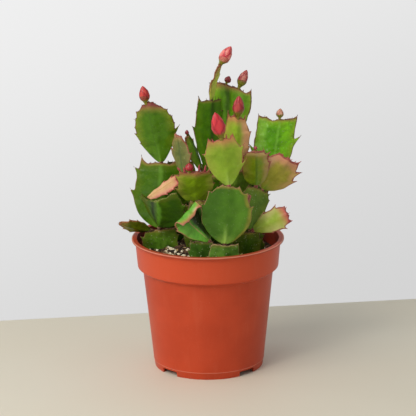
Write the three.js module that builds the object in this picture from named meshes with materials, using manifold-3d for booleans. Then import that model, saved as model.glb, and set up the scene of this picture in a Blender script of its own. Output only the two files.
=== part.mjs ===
// A christmas cactus in a thin round plastic pot, in millimetres with +Z up.
// The origin is on the surface that the pot stands on, under the pot's axis, and the front faces -Y.
// The plant is many flat stem segments, each growing from the tip edge of the one below it.

import * as THREE from 'three';
import { mergeVertices } from 'three/addons/utils/BufferGeometryUtils.js';
import Module from 'manifold-3d';

// Pot
const rimRadius = 52.5;
const potHeight = 91;
const wall = 1.2;
const lipWidth = 2.3;
const lipThickness = 1.1;
const collarHeight = 19.5;
const collarBottomRadius = 48.6;
const bodyTopRadius = 45.1;
const bodyTopDrop = 2.6;
const footTopRadius = 38.3;
const footRadius = 37.6;
const footHeight = 4.9;
const floorHeight = 4.6;
const rimRound = 0.4;
const innerStep = 0.6;
const potSides = 48;

// Cuts in the foot, and the drain slots in the floor behind them
const notchCount = 4;
const notchWidth = 13.6;
const notchHeight = 3.5;
const notchDepth = 8;
const firstNotchAngle = 44;
const slotLength = 11;
const slotWidth = 3;
const slotRadius = 30;

// Potting mix
const soilEdgeHeight = 79.5;
const soilCrown = 1.8;
const soilShoulder = { radius: 0.6, rise: 0.7 };
const clearance = 0.3;
const socketClearance = 0.35;
const rootDepth = 15;

// Stem segments
const ribThickness = 2.6;
const bladeThickness = 1.5;
const marginThickness = 0.8;
const neckWidth = 3.6;
const ribSpread = 0.22;
const neckThinning = 0.25;
const neckShare = 0.1;
const toothRise = 0.13;
const toothDrop = 0.035;
const toothHook = 0.7;
const marginPower = 6;
const hornPower = 20;
const tipPower = 4;
const joint = 0.75;

// How finely a segment is divided: columns across it, and rows of points along it
const columns = 4;
const fixedPlaces = [0, 0.05, 0.16, 0.3, 0.93, 1];
const curlPlaces = [0, 0.1, 0.2];
const closestPlaces = 0.02;
const widestStep = 0.2;

// Buds: radius against the half thickness, and height against the length
const budProfile = [
  [0, 0], [0.3, 0], [0.4, 0.1], [0.82, 0.24], [1, 0.42], [0.86, 0.66], [0.46, 0.88], [0, 1],
];
const budSides = 10;
const smallBudSides = 8;
const smallBud = 4;

const potColour = '#c24c2c';
const soilColour = '#3a2a1f';
const budColour = '#c04448';

const radians = THREE.MathUtils.degToRad;

// Each row is one stem segment, and what a row leaves out is in usual.
// root      x and y of the narrow end of a segment planted in the potting mix
// on, at    the segment that carries it, and the place along that one's tip edge from -1 to 1
// lean, tip degrees it leans to the right, and towards the front
// turn      degrees its face turns to the right about its own length
// long, wide
// bend      degrees that it curls towards its face, from the fraction bendFrom of its length
// fold      slope at which the two halves fall back from the midrib, round or sharp
// twist     degrees from the narrow end to the tip
// waist     fraction of the length where it is widest, and belly under 1 for a round narrow end
// shoulder  width of the tip edge against the widest place
// slant     height of the tip edge's right end over its middle, and crown how much both ends drop
// horns     left and right points of the tip edge
// teeth     place along the length, then the left and the right tooth
// gap       from the carrying tip edge's middle line to the narrow end
const usual = {
  lean: 0, tip: 0, turn: 0, at: 0, bend: 6, bendFrom: 0, fold: 0.14, sharp: 0.3, twist: 0,
  waist: 0.55, belly: 1, shoulder: 0.72, slant: 0, crown: 1, horns: [2, 2], gap: joint,
  teeth: [[0.5, 1.5, 1.5], [0.78, 1.6, 1.6]],
};
const segments = [
  // The shoot at the left
  { name: 'left_root', root: [-33, 9], turn: 8, long: 30, wide: 25, shoulder: 0.85, slant: 1,
    horns: [0, 1], teeth: [[0.8, 1.5, 1]] },
  { name: 'left_tall', on: 'left_root', lean: 0.8, tip: -15.5, turn: -4, gap: 1, long: 45, wide: 37.5,
    waist: 0.45, belly: 0.62, shoulder: 0.72, bend: 4, horns: [6, 3.5],
    teeth: [[0.54, 2.2, 2], [0.87, 2.4, 2.5]] },
  { name: 'left_top', on: 'left_tall', at: 0.04, lean: -8.4, tip: 8, turn: -5, long: 45.5, wide: 27,
    waist: 0.56, belly: 0.85, shoulder: 0.5, bend: 8, slant: -0.5, crown: 3.5, horns: [0.6, 0.6],
    teeth: [[0.3, 1.2, 0], [0.465, 1.4, 3], [0.6, 0.6, 0.6], [0.74, 0.8, 0.8], [0.88, 0.8, 0.8]] },
  { name: 'left_keel', on: 'left_root', at: -0.08, lean: 1, tip: 33, turn: -32, gap: 3, long: 29,
    wide: 39.5, waist: 0.56, belly: 0.8, shoulder: 0.72, fold: 0.33, sharp: 0.1, slant: 13,
    horns: [1, 1], teeth: [[0.5, 0.8, 0.8], [0.78, 0.8, 1.5]] },
  { name: 'left_blush', on: 'left_keel', at: -1, lean: 56, tip: 14, turn: -52, gap: 1.8, long: 27,
    wide: 9.8, waist: 0.7, shoulder: 0.8, horns: [1.4, 1.4], teeth: [[0.55, 1, 1], [0.8, 1.4, 1]] },
  { name: 'left_side', on: 'left_root', at: -0.45, lean: -75, tip: 16, turn: -41, gap: 3, long: 21.6,
    wide: 13.5, waist: 0.45, shoulder: 0.3, bend: -6, horns: [1.2, 1.2],
    teeth: [[0.5, 1, 1], [0.75, 1, 1]] },

  // The shoot left of the middle
  { name: 'centre_root', root: [-7, 12], lean: -1, tip: 11, turn: -15, long: 50.5, wide: 20,
    teeth: [[0.6, 1.4, 1.4]] },
  { name: 'centre_round', on: 'centre_root', at: 0.25, lean: -4, tip: 26, turn: 8, long: 31, wide: 25,
    waist: 0.5, shoulder: 0.84, slant: -2, horns: [3.4, 3.4],
    teeth: [[0.5, 1.4, 0.8], [0.86, 2, 2.4]] },
  { name: 'centre_mid', on: 'centre_root', at: -0.45, lean: -4, tip: -12, turn: 10, gap: 1.8, long: 18,
    wide: 16, teeth: [[0.7, 1, 1]] },
  { name: 'centre_pale', on: 'centre_mid', at: -0.7, lean: -4, tip: 2, turn: -50, gap: 1.1, long: 29.5,
    wide: 19, waist: 0.5, shoulder: 0.34, horns: [1, 1], teeth: [[0.55, 1.4, 1.4]] },

  // The shoot at the front
  { name: 'front_root_left', root: [-4, -28], turn: -14, long: 31.8, wide: 18, shoulder: 0.9,
    horns: [1.2, 1], teeth: [[0.74, 1.5, 1]] },
  { name: 'front_root_right', root: [11, -31], turn: 8, long: 30, wide: 22, shoulder: 0.85,
    horns: [1, 1.6], teeth: [[0.7, 1, 1.6]] },
  { name: 'front_broad', on: 'front_root_right', lean: 4, long: 41, wide: 34, waist: 0.46, belly: 0.75,
    shoulder: 0.44, bend: 5, fold: 0.1, crown: 2, horns: [1.2, 2.2],
    teeth: [[0.62, 1.2, 1.4], [0.86, 1.4, 1.4]] },
  { name: 'front_upper', on: 'front_broad', at: 0.05, lean: -9, tip: 5, long: 33.4, wide: 25,
    waist: 0.6, belly: 0.85, shoulder: 0.66, fold: 0.1, crown: 0, horns: [1.8, 2.6],
    teeth: [[0.36, 0, 2.8], [0.68, 1.2, 0], [0.72, 0, 2.2]] },
  { name: 'front_bent', on: 'front_root_left', at: 0.8, lean: -41, turn: 28, gap: 1.6, long: 32.5,
    wide: 22, waist: 0.6, shoulder: 0.85, bend: 165, bendFrom: 0.63, horns: [1, 1],
    teeth: [[0.6, 1, 1]] },
  { name: 'front_dark', on: 'front_root_left', tip: -25, turn: 10, gap: 2.2, long: 25, wide: 20,
    teeth: [[0.35, 1, 1], [0.65, 1.4, 1.4]] },

  // The shoot in the middle
  { name: 'middle_root', root: [4, 14], turn: 10, long: 34, wide: 18 },
  { name: 'middle_ridge', on: 'middle_root', tip: -4, turn: 8, long: 32.8, wide: 24, shoulder: 0.75,
    slant: -3 },
  { name: 'centre_blade', on: 'middle_ridge', at: -0.95, lean: -24, tip: 6, turn: 62, gap: 1, long: 26,
    wide: 12, shoulder: 0.5, horns: [1, 2], teeth: [[0.7, 1, 1.5]] },
  { name: 'middle_tall', on: 'middle_ridge', at: -0.4, tip: -7, turn: 42, long: 50, wide: 24,
    waist: 0.6, shoulder: 0.9, crown: 0, horns: [3.4, 0], teeth: [[0.6, 2, 1.4], [0.8, 0, 1.4]] },
  { name: 'middle_stalk', on: 'middle_tall', at: 0.1, lean: 10, tip: 8, turn: 74, long: 25.5, wide: 15,
    shoulder: 0.6, horns: [1, 1], teeth: [[0.6, 1, 1]] },

  // The shoot behind the middle
  { name: 'inner_root', root: [17, 17], turn: -30, long: 37, wide: 22 },
  { name: 'inner_dark', on: 'inner_root', at: 0.1, lean: 6, tip: 24, turn: 6, long: 41, wide: 23 },
  { name: 'inner_upper', on: 'inner_dark', at: -0.1, tip: 8, turn: 6, long: 38.9, wide: 18, waist: 0.6,
    shoulder: 0.66, slant: -1.8, horns: [4.6, 4], teeth: [[0.4, 1, 1], [0.7, 1, 1]] },
  { name: 'inner_low', on: 'inner_root', at: -0.3, lean: 3.4, tip: -14, turn: -8, long: 45, wide: 28 },
  { name: 'inner_broad', on: 'inner_low', tip: -4.8, long: 45, wide: 30, waist: 0.85, shoulder: 0.97,
    slant: -4.5, crown: 3.5, horns: [0.6, 4.4], teeth: [[0.5, 1.4, 0]] },

  // The shoot at the right
  { name: 'right_root', root: [27, -15], turn: 14, long: 35, wide: 19, shoulder: 0.8 },
  { name: 'right_outer_root', root: [33.5, 2], turn: 30, long: 30, wide: 11, horns: [1.5, 1.5],
    teeth: [[0.64, 1.5, 1.5], [0.86, 1.2, 1.2]] },
  { name: 'right_dark', on: 'right_root', at: 0.1, lean: 13, tip: -26, turn: 20, gap: 1, long: 29,
    wide: 20, waist: 0.8, teeth: [[0.5, 1, 0.6], [0.8, 1, 0.6]] },
  { name: 'right_front', on: 'right_dark', at: -0.25, lean: -1.5, tip: 23, turn: 2, gap: 2.8, long: 31,
    wide: 19, waist: 0.5, belly: 0.5, shoulder: 0.66, bend: 10, crown: 1.5, horns: [0.8, 1.4],
    teeth: [[0.6, 0, 1], [0.86, 0.8, 1.8]] },
  { name: 'right_side', on: 'right_dark', at: 0.4, lean: 37.5, tip: 8, turn: 14, gap: 1, long: 29,
    wide: 28, waist: 0.42, belly: 0.7, shoulder: 0.58, bend: 8, horns: [1.2, 4],
    teeth: [[0.5, 1, 2], [0.76, 1, 2.2]] },
  { name: 'right_top', on: 'right_dark', at: 1, lean: 8.6, tip: -16, turn: 4, gap: 1.6, long: 47.5,
    wide: 27, waist: 0.6, shoulder: 1, slant: 1.5, crown: 0, horns: [3, 3],
    teeth: [[0.5, 3.6, 0], [0.7, 0, 3.4]] },
  { name: 'right_low', on: 'right_root', at: 0.25, lean: 61, tip: 14, turn: -10, gap: 2.4, long: 26.5,
    wide: 15.5, waist: 0.6, shoulder: 0.72, bend: -8, horns: [1.4, 1.6],
    teeth: [[0.4, 1, 0.6], [0.75, 1.4, 1.4]] },
  { name: 'right_edge', on: 'right_root', at: -0.45, lean: 6, tip: 14, turn: 80, gap: 1, long: 27,
    wide: 9, shoulder: 0.5, horns: [1, 1], teeth: [[0.6, 1, 1]] },

  // The shoots at the back
  { name: 'back_left_root', root: [-22, 27], turn: -140, long: 33, wide: 21 },
  { name: 'back_left_low', on: 'back_left_root', at: -0.35, lean: 4, tip: -4, turn: -160, long: 38,
    wide: 26 },
  { name: 'back_left_side', on: 'back_left_root', at: 0.95, lean: -50, tip: -28, turn: -30, long: 23,
    wide: 20 },
  { name: 'back_root', root: [5, 35], turn: 176, long: 33, wide: 22 },
  { name: 'back_low', on: 'back_root', lean: 6, tip: 3, turn: 176, long: 42, wide: 24 },
  { name: 'back_upper', on: 'back_low', lean: 3, tip: 6, turn: 168, long: 36, wide: 24 },
  { name: 'back_tilt', on: 'back_root', at: -1, lean: 10, tip: -36, turn: 190, gap: 1.5, long: 22,
    wide: 19 },
  { name: 'back_right_root', root: [28, 22], turn: 128, long: 33, wide: 18 },
  { name: 'back_right_low', on: 'back_right_root', lean: 10, tip: -4, turn: 150, long: 36, wide: 22 },
  { name: 'back_right_upper', on: 'back_right_low', at: -0.5, lean: 16, tip: -6, turn: 160, gap: 1,
    long: 27, wide: 17 },
];

// Flower buds, each on the tip edge of a segment: lean and tip as above, then length and thickness.
const buds = [
  { name: 'left_bud', on: 'left_top', at: -0.42, lean: -10, tip: 4, long: 12.2, thick: 6.8 },
  { name: 'blush_bud', on: 'left_blush', lean: 60, tip: 12, long: 2.8, thick: 2.2 },
  { name: 'round_bud', on: 'centre_round', at: -0.35, tip: 10, long: 6, thick: 5.6 },
  { name: 'blade_bud', on: 'centre_blade', long: 3.6, thick: 2.6 },
  { name: 'front_bud', on: 'front_upper', at: 0.06, lean: -13, tip: 6, long: 18.6, thick: 8.8 },
  { name: 'inner_bud', on: 'inner_upper', at: 0.1, lean: 4, tip: 8, long: 15.6, thick: 7.4 },
  { name: 'top_bud', on: 'middle_stalk', lean: 30, tip: 8, long: 14.8, thick: 7.6 },
  { name: 'broad_bud', on: 'inner_broad', at: 0.4, lean: 24, long: 13.4, thick: 6.2 },
  { name: 'broad_small_bud', on: 'inner_broad', at: -0.2, lean: 22, tip: 4, long: 5.4, thick: 4.4 },
  { name: 'pale_bud', on: 'right_top', at: 0.1, lean: 4, long: 6.8, thick: 4.8 },
  { name: 'right_bud', on: 'right_front', tip: 4, long: 3, thick: 2.2 },
  { name: 'back_bud', on: 'back_upper', lean: -6, tip: -10, long: 13, thick: 6.6 },
];

const greens = {
  left_top: '#587a1c', left_keel: '#3c5c16', left_blush: '#d9b483', left_side: '#5a5510',
  centre_round: '#69750f', centre_pale: '#8b8c55',
  front_broad: '#4e6e21', front_upper: '#7f932a', front_bent: '#4f8030', front_dark: '#28380c',
  middle_tall: '#3f5c12', middle_stalk: '#6e7a1c', inner_upper: '#8b962a', inner_broad: '#5f8224',
  right_dark: '#37491f', right_front: '#6f661c', right_side: '#7d6c2c', right_top: '#52821a',
  right_low: '#8a9c40',
};
const usualGreen = '#456a1e';

// Half of the width at a fraction u of the length, with the teeth of one side.
function halfWidth(row, u, side) {
  const grown = Math.min(1, u / row.waist);
  const past = Math.max(0, (u - row.waist) / (1 - row.waist));
  const full = row.wide / 2;
  const widening = Math.sin(grown * Math.PI / 2) ** row.belly;
  const plain = neckWidth / 2 + (full - neckWidth / 2) * widening;
  return plain - full * (1 - row.shoulder) * past * past + tooth(row, u, side);
}

// A tooth swells slowly up to its point and then drops to the notch above it.
function tooth(row, u, side) {
  let out = 0;
  for (const [place, left, right] of row.teeth) {
    const size = side < 0 ? left : right;
    const before = 1 + (u - place) / toothRise;
    const after = 1 - (u - place) / toothDrop;
    if (u <= place && before > 0) out += size * before * before;
    if (u > place && after > 0) out += size * after;
  }
  return out;
}

// Half of the thickness: thick along the midrib, thin at the margins.
function halfThickness(v, u) {
  const rib = Math.exp(-((v / ribSpread) ** 2));
  const blade = marginThickness + (bladeThickness - marginThickness) * (1 - v * v);
  const flat = blade + (ribThickness - bladeThickness) * rib;
  return flat / 2 * (1 - neckThinning + neckThinning * Math.min(1, u / neckShare));
}

// A point of a segment in its own frame. u runs along it, v across it, and face is -1 on the front.
function surfacePoint(row, u, v, face, grow = 0) {
  const edge = Math.abs(v) ** marginPower;
  const hook = tooth(row, u, v) * toothHook * edge;
  const horn = (v < 0 ? row.horns[0] : row.horns[1]) * edge * u ** hornPower;
  const tilt = (row.slant * v - row.crown * v * v) * u ** tipPower;
  const s = row.long * u + hook + horn + tilt + grow * (2 * u - 1);

  const half = halfWidth(row, u, v) + grow;
  const across = half * v / Math.hypot(1, row.fold);
  const fall = row.fold * half * (Math.hypot(v, row.sharp) - row.sharp);
  const depth = fall + face * (halfThickness(v, u) + grow);
  const turn = radians(row.twist * u);
  const x = across * Math.cos(turn) - depth * Math.sin(turn);
  const back = across * Math.sin(turn) + depth * Math.cos(turn);

  const straight = row.long * row.bendFrom;
  const curl = radians(row.bend) / (row.long - straight);
  const run = Math.max(0, s - straight);
  const angle = curl * run;
  const y = curl ? -(1 - Math.cos(angle)) / curl : 0;
  const z = Math.min(s, straight) + (curl ? Math.sin(angle) / curl : run);
  return new THREE.Vector3(x, y + back * Math.cos(angle), z + back * Math.sin(angle));
}

// The fractions of the length that get a row of points: the outline's bends, tooth tips and notches.
function stations(row) {
  const places = [...fixedPlaces];
  for (const [place] of row.teeth) places.push(place, place + toothDrop);
  if (row.bendFrom > 0) places.push(...curlPlaces.map((step) => row.bendFrom + step));
  const sorted = places.sort((a, b) => a - b);
  const kept = sorted.filter((place, i) => i === 0 || place - sorted[i - 1] > closestPlaces);
  const filled = [kept[0]];
  for (const place of kept.slice(1)) {
    const last = filled[filled.length - 1];
    if (place - last > widestStep) filled.push((last + place) / 2);
    filled.push(place);
  }
  return filled;
}

function segmentGeometry(row, grow = 0) {
  const places = stations(row);
  const slab = new THREE.BoxGeometry(2, 2, places.length - 1, columns, 1, places.length - 1);
  const position = slab.attributes.position;
  for (let i = 0; i < position.count; i++) {
    const step = Math.round(position.getZ(i) + (places.length - 1) / 2);
    const point = surfacePoint(row, places[step], position.getX(i), position.getY(i), grow);
    position.setXYZ(i, point.x, point.y, point.z);
  }
  return closed(slab);
}

// Only the corner points are kept, shared between the faces.
function closed(geometry) {
  geometry.deleteAttribute('normal');
  geometry.deleteAttribute('uv');
  return mergeVertices(geometry, 1e-4);
}

const wasm = await Module();
wasm.setup();

function toSolid(geometry) {
  const vertProperties = new Float32Array(geometry.attributes.position.array);
  const triVerts = new Uint32Array(geometry.index.array);
  return new wasm.Manifold(new wasm.Mesh({ numProp: 3, vertProperties, triVerts }));
}

function toGeometry(solid) {
  const mesh = solid.getMesh();
  const geometry = new THREE.BufferGeometry();
  geometry.setAttribute('position', new THREE.BufferAttribute(new Float32Array(mesh.vertProperties), 3));
  geometry.setIndex(new THREE.BufferAttribute(new Uint32Array(mesh.triVerts), 1));
  return geometry;
}

const group = new THREE.Group();

function addMesh(name, geometry, color, roughness) {
  const mesh = new THREE.Mesh(geometry, new THREE.MeshStandardMaterial({ color, roughness, metalness: 0 }));
  mesh.name = name;
  group.add(mesh);
  return mesh;
}

// A turned shape, from points of radius and height.
function turned(points, sides) {
  const profile = points.map(([radius, height]) => new THREE.Vector2(radius, height));
  return closed(new THREE.LatheGeometry(profile, sides).rotateX(Math.PI / 2));
}

// Heights and radii that the pot and its potting mix share
const collarBottom = potHeight - collarHeight;
const collarTopRadius = rimRadius - lipWidth;
const bodyTop = collarBottom - bodyTopDrop;
const lipUnder = potHeight - lipThickness;
const floorTop = floorHeight + wall;

function makePot() {
  const footInner = footRadius - wall;
  const outside = [
    [0, floorHeight], [footInner - 1, floorHeight], [footInner, floorHeight - 1], [footInner, 0],
    [footRadius, 0], [footTopRadius, footHeight], [bodyTopRadius, bodyTop],
    [collarBottomRadius, collarBottom], [collarTopRadius, lipUnder],
  ];
  const lip = [
    [rimRadius - rimRound, lipUnder], [rimRadius, lipUnder + rimRound], [rimRadius, potHeight - rimRound],
    [rimRadius - rimRound, potHeight],
  ];
  const inside = [
    [collarTopRadius - wall, potHeight - rimRound / 2],
    [collarBottomRadius - wall, collarBottom + innerStep],
    [bodyTopRadius - wall, bodyTop + innerStep], [footTopRadius - wall, floorTop], [0, floorTop],
  ];
  let pot = toSolid(turned([...outside, ...lip, ...inside], potSides));
  for (let i = 0; i < notchCount; i++) {
    const angle = radians(firstNotchAngle + i * 360 / notchCount);
    const notch = new THREE.BoxGeometry(notchDepth, notchWidth, notchHeight * 2);
    notch.translate(footRadius, 0, 0).rotateZ(angle);
    const slot = new THREE.BoxGeometry(slotWidth, slotLength, floorTop * 3);
    slot.translate(slotRadius, 0, 0).rotateZ(angle);
    pot = pot.subtract(toSolid(closed(notch))).subtract(toSolid(closed(slot)));
  }
  addMesh('pot', toGeometry(pot), potColour, 0.45);
}

// The potting mix fills the pot, with a socket for each planted segment.
function makeSoil(planted) {
  const inset = wall + clearance;
  const collarSlope = (collarTopRadius - collarBottomRadius) / (lipUnder - collarBottom);
  const edgeRadius = collarBottomRadius + (soilEdgeHeight - collarBottom) * collarSlope - inset;
  const shoulder = [edgeRadius * soilShoulder.radius, soilEdgeHeight + soilCrown * soilShoulder.rise];
  let soil = toSolid(turned([
    [0, floorTop + clearance], [footTopRadius - inset, floorTop + clearance],
    [bodyTopRadius - inset, bodyTop + innerStep],
    [collarBottomRadius - inset, collarBottom + innerStep + clearance],
    [edgeRadius, soilEdgeHeight], shoulder, [0, soilEdgeHeight + soilCrown],
  ], potSides));
  for (const { row, matrix } of planted) {
    soil = soil.subtract(toSolid(segmentGeometry(row, socketClearance).applyMatrix4(matrix)));
  }
  addMesh('potting_mix', toGeometry(soil), soilColour, 0.95);
}

function pose({ lean = 0, tip = 0, turn = 0 }, base) {
  const rotation = new THREE.Euler(radians(tip), radians(lean), radians(turn), 'YXZ');
  return new THREE.Matrix4().makeRotationFromEuler(rotation).setPosition(base);
}

// Where a segment or bud starts: just past the carrying segment's tip edge, along its own direction.
function startOn(carrier, item) {
  const tipPoint = surfacePoint(carrier.row, 1, item.at ?? 0, 0).applyMatrix4(carrier.matrix);
  const along = new THREE.Vector3(0, 0, 1).transformDirection(pose(item, new THREE.Vector3()));
  return tipPoint.addScaledVector(along, item.gap ?? joint);
}

const grown = new Map();
for (const given of segments) {
  const row = { ...usual, ...given };
  const rooted = row.root && new THREE.Vector3(row.root[0], row.root[1], soilEdgeHeight - rootDepth);
  const base = rooted || startOn(grown.get(row.on), row);
  const matrix = pose(row, base);
  grown.set(row.name, { row, matrix });
  const mesh = addMesh(row.name, segmentGeometry(row), greens[row.name] ?? usualGreen, 0.42);
  mesh.applyMatrix4(matrix);
}

// A bud: a short stalk end, the swollen closed petals, and a pointed tip.
for (const bud of buds) {
  const sides = bud.thick > smallBud ? budSides : smallBudSides;
  const points = budProfile.map(([r, h]) => [r * bud.thick / 2, h * bud.long]);
  const mesh = addMesh(bud.name, turned(points, sides), budColour, 0.4);
  mesh.applyMatrix4(pose(bud, startOn(grown.get(bud.on), bud)));
}

makePot();
makeSoil([...grown.values()].filter(({ row }) => row.root));

export default group;
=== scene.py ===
import random
from math import cos, exp, hypot, pi, radians, sin, sqrt

import bmesh
import bpy
from mathutils import Matrix, Vector, noise


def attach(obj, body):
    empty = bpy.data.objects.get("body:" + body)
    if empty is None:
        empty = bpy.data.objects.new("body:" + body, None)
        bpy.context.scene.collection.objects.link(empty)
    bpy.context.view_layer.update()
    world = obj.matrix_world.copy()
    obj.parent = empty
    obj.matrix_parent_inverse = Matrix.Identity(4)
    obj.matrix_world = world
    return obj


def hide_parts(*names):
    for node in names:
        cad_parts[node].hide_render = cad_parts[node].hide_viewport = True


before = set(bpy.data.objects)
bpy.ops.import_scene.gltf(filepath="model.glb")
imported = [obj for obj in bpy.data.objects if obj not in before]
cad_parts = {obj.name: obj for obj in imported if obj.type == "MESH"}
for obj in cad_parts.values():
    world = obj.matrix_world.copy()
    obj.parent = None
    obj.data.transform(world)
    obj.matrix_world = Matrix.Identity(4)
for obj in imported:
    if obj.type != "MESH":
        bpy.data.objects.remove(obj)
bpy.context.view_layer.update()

# A christmas cactus in a round plastic pot. Shapes are made in millimetres and degrees,
# and each mesh is scaled to metres when it is done.
mm = 0.001

# without a seed, vector noise starts from the clock and each run differs
noise.seed_set(7)


def paint(code):
    # a colour as a screen shows it, rrggbb, made linear
    channels = [int(code[i:i + 2], 16) / 255 for i in (0, 2, 4)]
    linear = [c / 12.92 if c <= 0.04045 else ((c + 0.055) / 1.055) ** 2.4 for c in channels]
    return (*linear, 1.0)


# Materials

class Wire:
    # a node's output that can be added, multiplied and so on; each sum adds a Math node
    def __init__(self, graph, socket):
        self.graph = graph
        self.socket = socket

    def sum(self, operation, first, second):
        return self.graph.node("ShaderNodeMath", {"operation": operation}, {0: first, 1: second})

    def __add__(self, other):
        return self.sum("ADD", self, other)

    def __radd__(self, other):
        return self.sum("ADD", other, self)

    def __sub__(self, other):
        return self.sum("SUBTRACT", self, other)

    def __rsub__(self, other):
        return self.sum("SUBTRACT", other, self)

    def __mul__(self, other):
        return self.sum("MULTIPLY", self, other)

    def __rmul__(self, other):
        return self.sum("MULTIPLY", other, self)

    def __abs__(self):
        return self.sum("ABSOLUTE", self, 0.0)


class Graph:
    # a node tree, built up node by node
    def __init__(self, tree):
        self.tree = tree

    def node(self, kind, settings=None, sockets=None, output=0):
        made = self.tree.nodes.new(kind)
        for key, value in (settings or {}).items():
            setattr(made, key, value)
        for key, value in (sockets or {}).items():
            self.feed(made.inputs[key], value)
        return Wire(self, made.outputs[output])

    def feed(self, socket, value):
        # a value is another node's output, a colour code or a plain number
        if isinstance(value, Wire):
            self.tree.links.new(value.socket, socket)
        else:
            socket.default_value = paint(value) if isinstance(value, str) else value

    def blend(self, amount, below, above):
        return self.node("ShaderNodeMix", {"data_type": "RGBA"}, {0: amount, 6: below, 7: above}, 2)

    def ease(self, value, start, end):
        # 0 at start, 1 at end, smooth between
        limits = {"Value": value, "From Min": start, "From Max": end}
        return self.node("ShaderNodeMapRange", {"interpolation_type": "SMOOTHSTEP"}, limits)


class Finish(Graph):
    # one material, whose colour is built up coat by coat
    def __init__(self, name, **sockets):
        self.material = bpy.data.materials.new(name)
        self.material.use_nodes = True
        super().__init__(self.material.node_tree)
        self.shader = self.tree.nodes["Principled BSDF"]
        for socket, value in sockets.items():
            self.feed(self.shader.inputs[socket.replace("_", " ")], value)

    def ground(self, amount, one, other):
        # the first coat goes from one colour to the other
        self.colour = self.blend(amount, one, other)

    def coat(self, amount, colour):
        self.colour = self.blend(amount, self.colour, colour)

    def spot(self):
        # where the point is, in metres from the middle of the pot's foot
        return self.node("ShaderNodeTexCoord", output=3)

    def speckle(self, size, detail=2.0, shift=(0, 0, 0), stretch=(1, 1, 1), roughness=0.5):
        # noise whose lumps are about size millimetres across
        where = {"Vector": self.spot(), "Location": shift, "Scale": stretch}
        moved = self.node("ShaderNodeMapping", {}, where)
        lumps = {"Vector": moved, "Scale": 1 / (size * mm), "Detail": detail, "Roughness": roughness}
        return self.node("ShaderNodeTexNoise", {}, lumps)

    def height(self):
        # how high the point is over the table
        return self.node("ShaderNodeSeparateXYZ", {}, {0: self.spot()}, 2)

    def reach(self):
        # how far the point is from the upright axis
        flat = {0: self.spot(), 1: (1, 1, 0)}
        level = self.node("ShaderNodeVectorMath", {"operation": "MULTIPLY"}, flat)
        return self.node("ShaderNodeVectorMath", {"operation": "LENGTH"}, {0: level}, 1)

    def marked(self, name):
        # a number that the mesh carries at each of its points
        return self.node("ShaderNodeAttribute", {"attribute_name": name}, output=2)

    def end(self, roughness, height=None, depth=0.1):
        # depth is how many millimetres a height of 1 rises
        self.feed(self.shader.inputs["Base Color"], self.colour)
        self.feed(self.shader.inputs["Roughness"], roughness)
        if height is not None:
            relief = {"Strength": 1.0, "Distance": depth * mm, "Height": height}
            self.feed(self.shader.inputs["Normal"], self.node("ShaderNodeBump", {}, relief))
        return self.material


# Meshes

def addObject(name, data, place=Matrix()):
    made = bpy.data.objects.new(name, data)
    made.matrix_world = place
    bpy.context.collection.objects.link(made)
    return made


def facing(target, around, up, distance, roll=0):
    # the place of a lamp or camera that looks at the target
    swung = Matrix.Rotation(radians(around), 4, "Z") @ Matrix.Rotation(radians(90 - up), 4, "X")
    turned = swung @ Matrix.Rotation(radians(-roll), 4, "Z")
    back = turned.to_3x3() @ Vector((0, 0, distance))
    return Matrix.Translation((Vector(target) + back) * mm) @ turned


def meshPiece(name, bm, materials, place=Matrix(), flat=False):
    # scaled to metres and put in its place, in the mesh itself
    bmesh.ops.transform(bm, matrix=Matrix.Scale(mm, 4) @ place, verts=bm.verts)
    mesh = bpy.data.meshes.new(name)
    bm.to_mesh(mesh)
    bm.free()
    for material in materials:
        mesh.materials.append(material)
    if not flat:
        mesh.shade_smooth()
    return addObject(name, mesh)


def marks(bm, *names):
    # layers for the numbers that the materials read at each point
    return [bm.verts.layers.float.get(name) or bm.verts.layers.float.new(name) for name in names]


def facesOf(points):
    # each face once, in the order that its points come in
    return list(dict.fromkeys(face for point in points for face in point.link_faces))


def useMaterial(points, slot):
    for face in facesOf(points):
        face.material_index = slot


def spun(profile, sides):
    # turns a chain of radius and height points into a closed shape
    bm = bmesh.new()
    chain = [bm.verts.new((radius, 0, height)) for radius, height in profile]
    edges = [bm.edges.new(pair) for pair in zip(chain, chain[1:])]
    bmesh.ops.spin(bm, geom=chain + edges, axis=(0, 0, 1), cent=(0, 0, 0), dvec=(0, 0, 0),
                   angle=2 * pi, steps=sides, use_merge=True, use_duplicate=False)
    bmesh.ops.remove_doubles(bm, verts=bm.verts, dist=0.001)
    bmesh.ops.recalc_face_normals(bm, faces=bm.faces)
    return bm


def roundEdges(bm, edges, offset):
    bmesh.ops.bevel(bm, geom=edges, offset=offset, segments=3, affect="EDGES", profile=0.5, material=-1,
                    clamp_overlap=True)


def addStub(bm, below, above, lowRadius, highRadius):
    # a short upright cone that joins a piece to the one that carries it
    middle = Matrix.Translation((0, 0, (above - below) / 2))
    return bmesh.ops.create_cone(bm, cap_ends=True, segments=12, radius1=lowRadius, radius2=highRadius,
                                 depth=below + above, matrix=middle)["verts"]


# Camera, where the picture was taken from

view = {
    "distance": 1500, "up": 15.3, "roll": 0.52, "target": (0.28, 0, 111.6),
    "lens": 188.9, "sensor": 36,
}


def makeCamera():
    data = bpy.data.cameras.new("camera")
    data.lens = view["lens"]
    data.sensor_width = view["sensor"]
    place = facing(view["target"], 0, view["up"], view["distance"], view["roll"])
    bpy.context.scene.camera = addObject("camera", data, place)
    print("camera", view["distance"], "mm away")


# Lights, the wall and the table

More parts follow.
